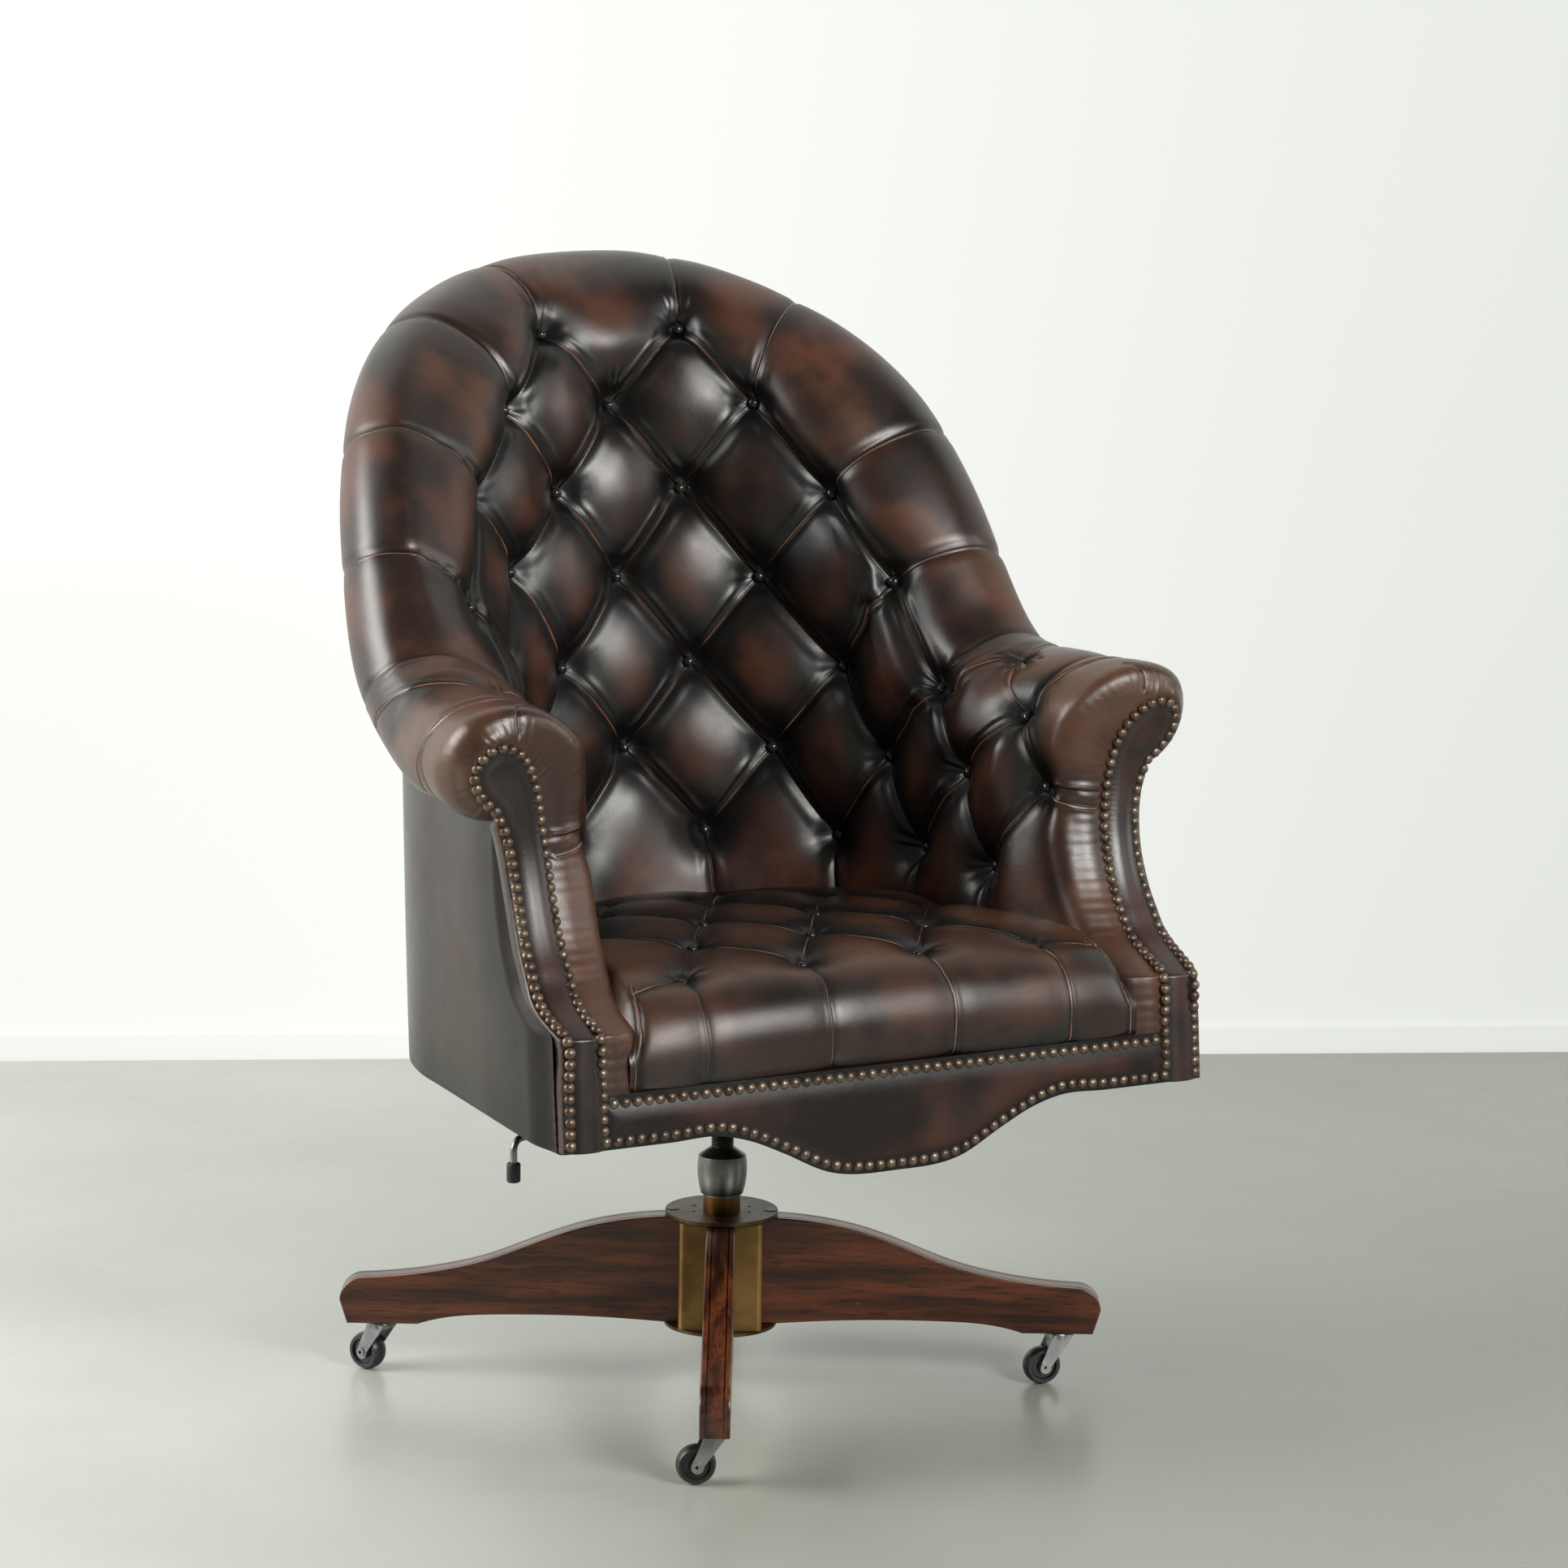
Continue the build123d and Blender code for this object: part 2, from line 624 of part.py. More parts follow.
def roll_section(run):
    """The roll square to the rim: a full inner shoulder over the tufts and a round back."""
    gap = back_pitch / 8
    flare = min(max((abs(run) - quarter_run / 2) / (front_run - quarter_run / 2), 0), 1)
    reach = roll_offset + roll_flare * flare
    centre = wall_point(run, reach, rim_level(run))
    along = (wall_point(run + gap, reach, rim_level(run + gap))
             - wall_point(run - gap, reach, rim_level(run - gap))).normalized()
    _, _, way_x, way_y, _ = station(run)
    outward = Vector(way_x, way_y, 0)
    outward = (outward - along * outward.dot(along)).normalized()
    upward = outward.cross(along)
    if upward.Z < 0:
        upward = upward * -1

    def at(out, up):
        return centre + outward * out + upward * up

    low = at(-reach, -roll_radius * roll_low_share)
    throat = at(-reach * throat_shares[0], roll_radius * throat_shares[1])
    top, shoulder, edge, under, foot = (at(roll_radius * out, roll_radius * up) for out, up in roll_shares)
    return Wire([Edge.make_three_point_arc(low, throat, top), Edge.make_three_point_arc(top, shoulder, edge),
                 Edge.make_three_point_arc(edge, under, foot), Edge.make_line(foot, low)])


def tuft_wires(columns, rows, top):
    """Sections at the columns, each scalloped between the rows: sewn down at every second crossing."""
    wires = []
    for column in columns:
        run = column_run(abs(column)) * (1 if column >= 0 else -1)

        def depth(row):
            return 0 if (row + column) % 2 == 1 else -crown_deep

        levels = [(row, first_row + row * row_rise) for row in range(rows)] + [(rows, top)]
        low = wall_point(run, -crown_deep / 2, pad_bottom)
        points = [wall_point(run, depth(row), level) for row, level in levels]
        edges = [Edge.make_line(low, points[0])]
        for (row, level), (after, above) in zip(levels, levels[1:]):
            bulge = (depth(row) + depth(after)) / 2 - crown_deep / 4
            edges.append(Edge.make_three_point_arc(
                wall_point(run, depth(row), level), wall_point(run, bulge, (level + above) / 2),
                wall_point(run, depth(after), above)))
        back_high, back_low = wall_point(run, pad_back, top), wall_point(run, pad_back, pad_bottom)
        edges += [Edge.make_line(points[-1], back_high), Edge.make_line(back_high, back_low),
                  Edge.make_line(back_low, low)]
        wires.append(Wire(edges))
    return wires


runs = both_sides(rim_runs)
roll = Solid.make_loft([roll_section(run) for run in runs], ruled=True)
print("roll", roll.is_valid, round(roll.volume))

# What lies in front of the arms: a raked block front, an ogee sweep back and the scroll above it.
sweep_shares = ((0.0, 0.0), (0.385, 0.078), (0.67, 0.212), (0.872, 0.384), (0.972, 0.547), (1.0, 0.69),
                (0.954, 0.865), (0.84, 1.0), (0.74, 1.16))
front_slope = tan(radians(front_lean))


def front_y(level):
    """The raked front plane at a level."""
    return front_place + (level - front_level) * front_slope


def front_room(behind):
    """Everything in front of the arms' front surface, moved back by a distance."""
    far = front_place - roll_radius
    corner = (front_y(block_top) + behind, block_top)
    curve = [(corner[0] + sweep_back * y, corner[1] + sweep_rise * z) for y, z in sweep_shares]
    low = body_bottom - apron_lobe_drop - overrun
    with BuildSketch(Plane.YZ) as room:
        with BuildLine():
            Spline(*curve)
            Polyline(curve[-1], (far, curve[-1][1]), (far, low), (front_y(low) + behind, low), corner)
        make_face()
    return extrude(room.sketch, body_front_half * 2, both=True)


room_cut = front_room(facing_thick / 4)
rim_curve = [(wall_point(run, 0, rim_level(run)).Y, rim_level(run) - roll_radius / 2) for run in rim_runs
             if 0 <= run <= quarter_run * 1.15]
ceiling = back_roll_high + 2 * roll_radius
with BuildSketch(Plane.YZ) as above:
    with BuildLine():
        Polyline((quarter_run, rim_curve[0][1]), *rim_curve, (front_place - roll_radius, rim_curve[-1][1]),
                 (front_place - roll_radius, ceiling), (quarter_run, ceiling), (quarter_run, rim_curve[0][1]))
    make_face()
curtain = extrude(above.sketch, front_run, both=True)


def mirrored(shape):
    """The same piece on the other side of the seat."""
    return mirror(shape, about=Plane.YZ)


def write_pair(name, shape):
    """A right piece and its mirror image."""
    write("right_" + name, shape)
    write("left_" + name, mirrored(shape))


# Buttons and the wells that they sit in
tufts = [(column, row) for column in range(-column_count + 1, column_count) for row in range(back_rows + 1)
         if (row + column) % 2 == 1
         and first_row + row * row_rise < rim_level(column_run(abs(column))) + button_radius]


def tuft_rod(column, row, radius, inner, outer):
    """A round bar square to the wall at a tuft."""
    run = column_run(abs(column)) * (1 if column >= 0 else -1)
    start, end = (wall_point(run, out, first_row + row * row_rise) for out in (inner, outer))
    return Plane(origin=start, z_dir=end - start) * Pos(0, 0, (end - start).length / 2) \
        * Cylinder(radius, (end - start).length)


def wells(shape, columns):
    """Sink the wells of the tufts at these columns."""
    for column, row in tufts:
        if column in columns:
            shape -= tuft_rod(column, row, button_radius + running_gap, -2 * crown_deep, button_high / 2)
    return shape


# Facings: leather panels on the front of each arm, straight below and a scroll above.
scroll_x, scroll_z = body_front_half + scroll_out, arm_roll_high - scroll_drop
scroll_join, neck_turn = radians(scroll_join_turn), radians(scroll_neck_turn)
join_share, neck_share, neck_bow_share = 1.2, 1.1, 0.25
sweep_bow_shares = (0.33, 2.6)
scroll_top_shares = (0.25, 1.02)
scroll_under_shares = (0.82, -0.6)
with BuildSketch(Plane.XZ) as facing_front:
    with BuildLine():
        inner_join = (scroll_x - scroll_radius * cos(scroll_join) * join_share,
                      scroll_z + scroll_radius * sin(scroll_join))
        neck = (scroll_x + scroll_radius * sin(neck_turn),
                scroll_z - scroll_radius * cos(neck_turn) * neck_share)
        sweep_z = block_top + sweep_rise / 2
        Line((block_inner_half, body_bottom), (block_inner_half, sweep_z))
        ThreePointArc((block_inner_half, sweep_z),
                      (block_inner_half + facing_half * sweep_bow_shares[0],
                       sweep_z + facing_half * sweep_bow_shares[1]), inner_join)
        scroll_top, scroll_under = ((scroll_x + scroll_radius * x, scroll_z + scroll_radius * z)
                                    for x, z in (scroll_top_shares, scroll_under_shares))
        ThreePointArc(inner_join, scroll_top, (scroll_x + scroll_radius, scroll_z))
        ThreePointArc((scroll_x + scroll_radius, scroll_z), scroll_under, neck)
        ThreePointArc(neck, (body_front_half + facing_half * neck_bow_share,
                             (neck[1] + sweep_z) / 2 + facing_half / 4), (body_front_half, sweep_z))
        Polyline((body_front_half, sweep_z), (body_front_half, body_bottom), (block_inner_half, body_bottom))
    make_face()
facing = extrude(facing_front.sketch, front_run, both=True)
facing = (facing & front_room(facing_thick)) - front_room(0)
facing = max(facing.solids(), key=lambda solid: solid.volume)
write_pair("arm_facing", facing)
facings = facing + mirrored(facing)

# Seat: a buttoned pad that drops over the front rail and fills the hollow.
pad_low = apron_top + seat_gap
pad_floor = rail_top + seat_gap
seat_columns = [tuft_pitch * index for index in range(-4, 5)]
seat_tuft_rows = [tuft_front_row + tuft_row * index for index in range(5)]
seat_wide = body_front_half - facing_half * 2
border_share = 0.7
edge_shares = ((0.0, 0.36), (0.22, 0.72), (0.5, 0.9))
front_dimple_share = 0.3
seat_waist_share = 0.58


def seat_wire(place, top, dips, deep):
    """A section across the seat, scalloped between its columns."""
    def level(index):
        crown = seat_dimple * (seat_columns[index] / seat_wide) ** 2
        return top - crown - (deep if (index + dips) % 2 else 0)
    points = [Vector(x, place, level(index)) for index, x in enumerate(seat_columns)]
    left, right = (Vector(side * seat_wide, place, seat_side - (seat_top - top)) for side in (-1, 1))
    low_left, low_right = (Vector(side * seat_wide, place, pad_low) for side in (-1, 1))
    edges = [Edge.make_line(low_left, left), Edge.make_line(left, points[0])]
    for one, two in zip(points, points[1:]):
        middle = (one + two) / 2 + Vector(0, 0, deep / 5)
        edges.append(Edge.make_three_point_arc(one, middle, two))
    edges += [Edge.make_line(points[-1], right), Edge.make_line(right, low_right),
              Edge.make_line(low_right, low_left)]
    return Wire(edges)


front_run_in = tuft_front_row - seat_front
seat_wires = [seat_wire(seat_front + front_run_in * y, pad_low + (seat_top - pad_low) * z, 0,
                        seat_dimple * front_dimple_share) for y, z in edge_shares]
seat_wires += [seat_wire(y, seat_top, index, seat_dimple) for index, y in enumerate(seat_tuft_rows)]
seat_wires.append(seat_wire(seat_tuft_rows[-1] + tuft_row, seat_top - seat_dimple, 1, seat_dimple / 2))
seat_block = Solid.make_loft(seat_wires, ruled=True)
seat_centre = hollow_centre + (seat_side - lean_level) * lean_slope
with BuildSketch() as seat_plan:
    with BuildLine():
        front_side = seat_front + facing_thick * 2
        waist = hollow_centre + (seat_front - hollow_centre) * seat_waist_share
        Line((seat_front_half, seat_front - overrun), (seat_front_half, front_side))
        Spline((seat_front_half, front_side), (seat_middle_half, waist), (seat_back_radius, seat_centre),
               tangents=((0, 1), (0, 1)))
        ThreePointArc((seat_back_radius, seat_centre), (0, seat_centre + seat_back_radius),
                      (-seat_back_radius, seat_centre))
        Spline((-seat_back_radius, seat_centre), (-seat_middle_half, waist), (-seat_front_half, front_side),
               tangents=((0, -1), (0, -1)))
        Polyline((-seat_front_half, front_side), (-seat_front_half, seat_front - overrun),
                 (seat_front_half, seat_front - overrun))
    make_face()
seat_prism = extrude(Plane.XY.offset(pad_low - overrun) * seat_plan.sketch, seat_top - pad_low + 3 * overrun)
front_in = front_y(pad_floor) + apron_thick + rail_thick
under_seat = slab(-seat_wide, seat_wide, front_in, quarter_run, pad_low - overrun, pad_floor)
seat_pad = (seat_block & seat_prism) - under_seat
seat_tufts = [(x, y) for row, y in enumerate(seat_tuft_rows[:-1]) for index, x in enumerate(seat_columns)
              if (index + row) % 2 and abs(x) < seat_middle_half
              and hypot(x, max(y - seat_centre, 0)) < seat_back_radius - 2 * button_radius]
seat_buttons = []
for x, y in seat_tufts:
    base = seat_top - seat_dimple * (1 + (x / seat_wide) ** 2)
    seat_pad -= rod(button_radius + running_gap, base - button_high / 2, seat_top + overrun, x, y)
    seat_buttons.append(rod(button_radius, base - button_high / 2, base + button_high / 2, x, y))
write("seat_pad", seat_pad)
write("seat_buttons", Compound(children=seat_buttons))

# Padding of the back and the arms
print("tufts", len(tufts))
back_columns_run = list(range(-5, 6))
back_wires = tuft_wires(back_columns_run, back_rows + 1, back_roll_high + facing_thick)
inside_back = Solid.make_loft(back_wires, ruled=True)
inside_back = wells(inside_back - curtain - roll, back_columns_run)
inside_back = max(inside_back.solids(), key=lambda solid: solid.volume)
write("inside_back", inside_back)
arm_columns_run = list(range(5, column_count + 3))
inside_arm = Solid.make_loft(tuft_wires(arm_columns_run, 2, arm_roll_high), ruled=True)
border_runs = [run for run in runs if run > quarter_run]
border = wall_loft(border_runs, -crown_deep * border_share, shell_offset, pad_low, rim_level)
border = border & front_room(4 * facing_thick)
border = border & slab(0, block_inner_half, front_place - facing_thick, 0, 0, ceiling)
inside_arm = wells((inside_arm + border) - roll - room_cut - seat_prism - facing, arm_columns_run)
inside_arm = max(inside_arm.solids(), key=lambda solid: solid.volume)
write_pair("inside_arm", inside_arm)
roll_padding = wells(roll - room_cut - facings, range(-column_count, column_count + 1))
write("roll_padding", roll_padding)
buttons = [tuft_rod(column, row, button_radius, -button_high / 2, button_high / 2) for column, row in tufts]
write("back_buttons", Compound(children=buttons))

# Frame: a bent panel behind the padding, rails, posts and blocks, and the leather outside.
panel = wall_loft(runs, panel_offset, panel_offset + panel_thick, pad_floor, rim_level)
panel = panel - roll - room_cut - facings - inside_arm - mirrored(inside_arm)
panel = max(panel.solids(), key=lambda solid: solid.volume)
write("tub_panel", panel)
cover = wall_loft(runs, shell_offset - cover_thick, shell_offset, body_bottom, rim_level)
cover = cover - roll - front_room(facing_thick) - facings
write("outside_cover", cover)
post_low, post_in, post_out = rail_top, panel_offset + panel_thick, shell_offset - cover_thick
post_shares = (-0.92, -0.6, -0.25, 0.25, 0.6, 0.92)
posts = []
for share in post_shares:
    middle = share * quarter_run
    post = wall_loft([middle - post_depth / 2, middle + post_depth / 2], post_in, post_out, post_low,
                     rim_level)
    posts.append(post - roll - panel - cover)
write("frame_posts", Compound(children=[solid for post in posts for solid in post.solids()]))


def flat(_):
    """The top of the rails."""
    return rail_top


rail_low = body_bottom + cover_thick
rail_in = post_out - rail_thick
back_rail = wall_loft([run for run in runs if abs(run) <= quarter_run], rail_in, post_out, rail_low, flat)
write("back_rail", back_rail)
side_rail = wall_loft([quarter_run, front_run - facing_thick], rail_in, post_out, rail_low, flat)
rail_room = front_room(facing_thick + rail_thick)
side_rail = side_rail - rail_room
write("side_rails", Compound(children=[*side_rail.solids(), *mirrored(side_rail).solids()]))
front_post = slab(block_inner_half, body_front_half - cover_thick - facing_thick, front_place, hollow_centre,
                  rail_low, arm_roll_high)
front_post = (front_post & front_room(facing_thick + rail_thick + facing_thick)) - front_room(facing_thick)
front_post = front_post - roll - panel - cover - side_rail - inside_arm
front_post = max(front_post.solids(), key=lambda solid: solid.volume)
write("arm_posts", Compound(children=[front_post, mirrored(front_post)]))

# Front apron and rail, with the serpentine lobe in the middle
front_frame = Plane(origin=(0, front_place, front_level), x_dir=(1, 0, 0),
                    z_dir=(0, -cos(radians(front_lean)), sin(radians(front_lean))))
lobe_shares = ((-1.3, 0.0), (-1.0, 0.02), (-0.82, 0.17), (-0.65, 0.44), (-0.4, 0.87), (0.0, 1.0), (0.4, 0.87),
               (0.65, 0.44), (0.82, 0.17), (1.0, 0.02), (1.3, 0.0))


def front_board(half, top, bottom, near, thick):
    """A board on the raked front with the lobe in its lower edge."""
    with BuildSketch(front_frame) as board:
        with BuildLine():
            lobe = [(x * apron_lobe_half, bottom - front_level - z * apron_lobe_drop) for x, z in lobe_shares]
            Spline(*lobe)
            Polyline(lobe[-1], (half, bottom - front_level), (half, top - front_level),
                     (-half, top - front_level), (-half, bottom - front_level), lobe[0])
        make_face()
    return extrude(board.sketch, -near - thick) - extrude(board.sketch, -near) if near \
        else extrude(board.sketch, -thick)


apron = front_board(block_inner_half, apron_top, body_bottom, 0, apron_thick)
write("front_apron", apron - facings)
front_rail = front_board(block_inner_half, apron_top, body_bottom + cover_thick, apron_thick, rail_thick)
write("front_rail", front_rail - facings)

# Deck, corner blocks and the cloth underneath
deck_points = [wall_point(run, rail_in - clear_gap, deck_low) for run in runs if abs(run) <= quarter_run]
deck_front = front_in + clear_gap
deck_side = wall_point(front_run, rail_in, deck_low).X - facing_thick
with BuildSketch() as deck_plan:
    with BuildLine():
        Polyline((-deck_side, deck_front), *[(p.X, p.Y) for p in deck_points], (deck_side, deck_front),
                 (-deck_side, deck_front))
    make_face()
deck = extrude(Plane.XY.offset(deck_low) * deck_plan.sketch, rail_top - deck_low)
for x, y in plate_screw_places:
    deck -= rod(screw_radius, deck_low - overrun, deck_low + plate_screw_length, x, y)
for board in (front_post, side_rail, back_rail, inside_arm):
    deck = deck - board - mirrored(board)
write("seat_deck", max(deck.solids(), key=lambda solid: solid.volume))
block_share = 1.2
block_size = post_depth * block_share
corner_x, corner_y = block_inner_half - facing_thick, front_in + clear_gap
with BuildSketch(Plane.XY.offset(rail_low)) as corner:
    with BuildLine():
        Polyline((corner_x, corner_y), (corner_x - block_size, corner_y), (corner_x, corner_y + block_size),
                 (corner_x, corner_y))
    make_face()
corner_block = extrude(corner.sketch, deck_low - rail_low) - side_rail - front_post - inside_arm
corner_block = max(corner_block.solids(), key=lambda solid: solid.volume)
write("corner_blocks", Compound(children=[corner_block, mirrored(corner_block)]))

# The black cloth under the seat, open round the mechanism
cloth_points = [wall_point(run, post_out - overrun, body_bottom) for run in runs if abs(run) <= quarter_run]
cloth_side = wall_point(front_run, rail_in, body_bottom).X
cloth_front = front_place + apron_thick + rail_thick
with BuildSketch() as cloth_plan:
    with BuildLine():
        Polyline((-cloth_side, cloth_front), *[(p.X, p.Y) for p in cloth_points], (cloth_side, cloth_front),
                 (-cloth_side, cloth_front))
    make_face()
cloth = extrude(Plane.XY.offset(rail_low - dust_thick) * cloth_plan.sketch, dust_thick)
cloth -= slab(-plate_half - facing_thick, plate_half + facing_thick, -plate_front - facing_thick,
              plate_back + facing_thick, body_bottom - overrun, rail_top)
write("dust_cover", cloth - facings - apron)
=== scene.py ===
# A deep-buttoned office chair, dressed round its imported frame. Shapes are worked out in millimetres and
# put into the meshes in metres.
import bpy
import math
import numpy as np
from mathutils import Matrix, Vector


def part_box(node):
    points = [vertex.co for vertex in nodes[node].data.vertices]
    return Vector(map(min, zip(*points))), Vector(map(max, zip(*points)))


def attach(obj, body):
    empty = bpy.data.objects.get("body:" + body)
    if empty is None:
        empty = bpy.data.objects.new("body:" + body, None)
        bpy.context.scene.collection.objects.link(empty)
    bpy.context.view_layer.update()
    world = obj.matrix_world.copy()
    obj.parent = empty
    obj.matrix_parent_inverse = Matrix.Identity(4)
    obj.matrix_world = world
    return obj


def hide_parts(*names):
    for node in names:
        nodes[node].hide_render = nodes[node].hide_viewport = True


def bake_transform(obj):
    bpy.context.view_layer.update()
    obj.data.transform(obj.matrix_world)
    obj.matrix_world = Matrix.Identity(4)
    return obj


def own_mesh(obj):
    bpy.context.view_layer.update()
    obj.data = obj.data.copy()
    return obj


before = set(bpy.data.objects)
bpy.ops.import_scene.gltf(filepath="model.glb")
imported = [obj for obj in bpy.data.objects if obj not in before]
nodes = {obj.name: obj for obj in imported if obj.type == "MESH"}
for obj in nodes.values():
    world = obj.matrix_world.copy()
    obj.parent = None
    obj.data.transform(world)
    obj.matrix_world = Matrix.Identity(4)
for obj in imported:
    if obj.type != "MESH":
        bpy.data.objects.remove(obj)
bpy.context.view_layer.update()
mm = 0.001


# Lines and grids

def swell(x, middle, width):
    # a soft hump, exp(-((x - middle) / width)^2)
    return np.exp(-((x - middle) / width) ** 2)


def smoothStep(low, high, x):
    # 0 below low, 1 above high, 3t^2 - 2t^3 between
    t = np.clip((x - low) / (high - low), 0, 1)
    return t * t * (3 - 2 * t)


def bell(places, sigma):
    # weights exp(-distance^2 / 2 sigma^2) that add up to 1
    weight = np.exp(-0.5 * (places / sigma) ** 2)
    return weight / weight.sum()


def softened(values, step, sigma):
    # each value of a line becomes the mean of its neighbours, weighted by the bell
    half = int(3 * sigma / step)
    weight = bell(np.arange(-half, half + 1) * step, sigma)
    return np.convolve(np.pad(values, half, mode="edge"), weight, mode="valid")


def blurred(values, axis, half, sigma, **edges):
    # each value of a grid becomes the mean of its neighbours along one way, weighted by the bell
    wide = np.pad(values, [(half, half) if k == axis else (0, 0) for k in range(values.ndim)], **edges)
    return sum(w * np.take(wide, np.arange(k, k + values.shape[axis]), axis)
               for k, w in enumerate(bell(np.arange(-half, half + 1), sigma)))


def curveThrough(knots, values, at):
    # cubic pieces through the values; each tangent is the mean of the slopes beside it, weighted by the
    # other's length
    knots = np.asarray(knots, float)
    values = np.asarray(values, float)
    flat = values.reshape(len(knots), -1)
    step = np.diff(knots)[:, None]
    slope = np.diff(flat, axis=0) / step
    tangent = np.empty_like(flat)
    tangent[1:-1] = (slope[:-1] * step[1:] + slope[1:] * step[:-1]) / (step[1:] + step[:-1])
    tangent[0], tangent[-1] = slope[0], slope[-1]
    at = np.clip(np.asarray(at, float), knots[0], knots[-1])
    i = np.clip(np.searchsorted(knots, at, side="right") - 1, 0, len(knots) - 2)
    h = (knots[i + 1] - knots[i])[..., None]
    t = (at - knots[i])[..., None] / h
    out = ((2 * t**3 - 3 * t**2 + 1) * flat[i] + (t**3 - 2 * t**2 + t) * h * tangent[i]
           + (-2 * t**3 + 3 * t**2) * flat[i + 1] + (t**3 - t**2) * h * tangent[i + 1])
    return out.reshape(at.shape + values.shape[1:])


def along(points):
    # distance along a line of points: the running sum of the steps between them
    points = np.asarray(points, float)
    return np.concatenate([[0], np.cumsum(np.linalg.norm(np.diff(points, axis=0), axis=1))])


def spaced(points, count):
    # the same line through count points at equal steps, on a cubic curve
    points = np.asarray(points, float)
    fine = curveThrough(along(points), points, np.linspace(0, along(points)[-1], 40 * len(points)))
    run = along(fine)
    target = np.linspace(0, run[-1], count)
    return np.stack([np.interp(target, run, fine[:, k]) for k in range(fine.shape[1])], -1)


def gridQuads(rows, columns, closed=False):
    # corner numbers of each square of a grid; a closed grid joins its last column to its first
    r = np.arange(rows - 1)[:, None]
    c = np.arange(columns if closed else columns - 1)[None, :]
    after = (c + 1) % columns
    return np.stack([r * columns + c, r * columns + after, (r + 1) * columns + after, (r + 1) * columns + c],
                    -1).reshape(-1, 4)


def gridNormals(points, at, way):
    # cross product of the steps along the two ways of the grid, made one long, on the side that looks along
    # way at one place
    normal = np.cross(np.gradient(points, axis=0), np.gradient(points, axis=1))
    normal = normal / np.maximum(np.linalg.norm(normal, axis=-1, keepdims=True), 1e-9)
    return normal if normal[at] @ np.array(way) >= 0 else -normal


def outward(quads, points, normals):
    # the squares, turned over where the middle one faces against the normals
    corners = quads[len(quads) // 2]
    a, b, c = points.reshape(-1, 3)[corners[:3]]
    return quads if np.cross(b - a, c - b) @ normals.reshape(-1, 3)[corners[0]] >= 0 else quads[:, ::-1]


def putMesh(name, points, faces, attributes=None, normals=None):
    # a mesh of squares or triangles from whole arrays, its points turned from millimetres to metres
    points = np.asarray(points, float).reshape(-1, 3) * mm
    faces = np.asarray(faces, np.int32)
    mesh = bpy.data.meshes.new(name)
    mesh.vertices.add(len(points))
    mesh.vertices.foreach_set("co", points.astype(np.float32).ravel())
    mesh.loops.add(faces.size)
    mesh.loops.foreach_set("vertex_index", faces.ravel())
    mesh.polygons.add(len(faces))
    mesh.polygons.foreach_set("loop_start", np.arange(0, faces.size, faces.shape[1], dtype=np.int32))
    mesh.update(calc_edges=True)
    mesh.validate()
    mesh.polygons.foreach_set("use_smooth", np.ones(len(mesh.polygons), bool))
    for key, value in (attributes or {}).items():
        layer = mesh.attributes.new(key, "FLOAT", "POINT")
        layer.data.foreach_set("value", np.asarray(value, np.float32).ravel())
    if normals is not None:
        mesh.normals_split_custom_set_from_vertices(np.asarray(normals, float).reshape(-1, 3))
    obj = bpy.data.objects.new(name, mesh)
    bpy.context.scene.collection.objects.link(obj)
    return obj


def finished(obj, body, material, replaced=()):
    # give a piece its material, its body and what it stands for
    obj.data.materials.clear()
    obj.data.materials.append(material)
    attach(obj, body)
    if replaced:
        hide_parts(*replaced)
    return obj


# Materials

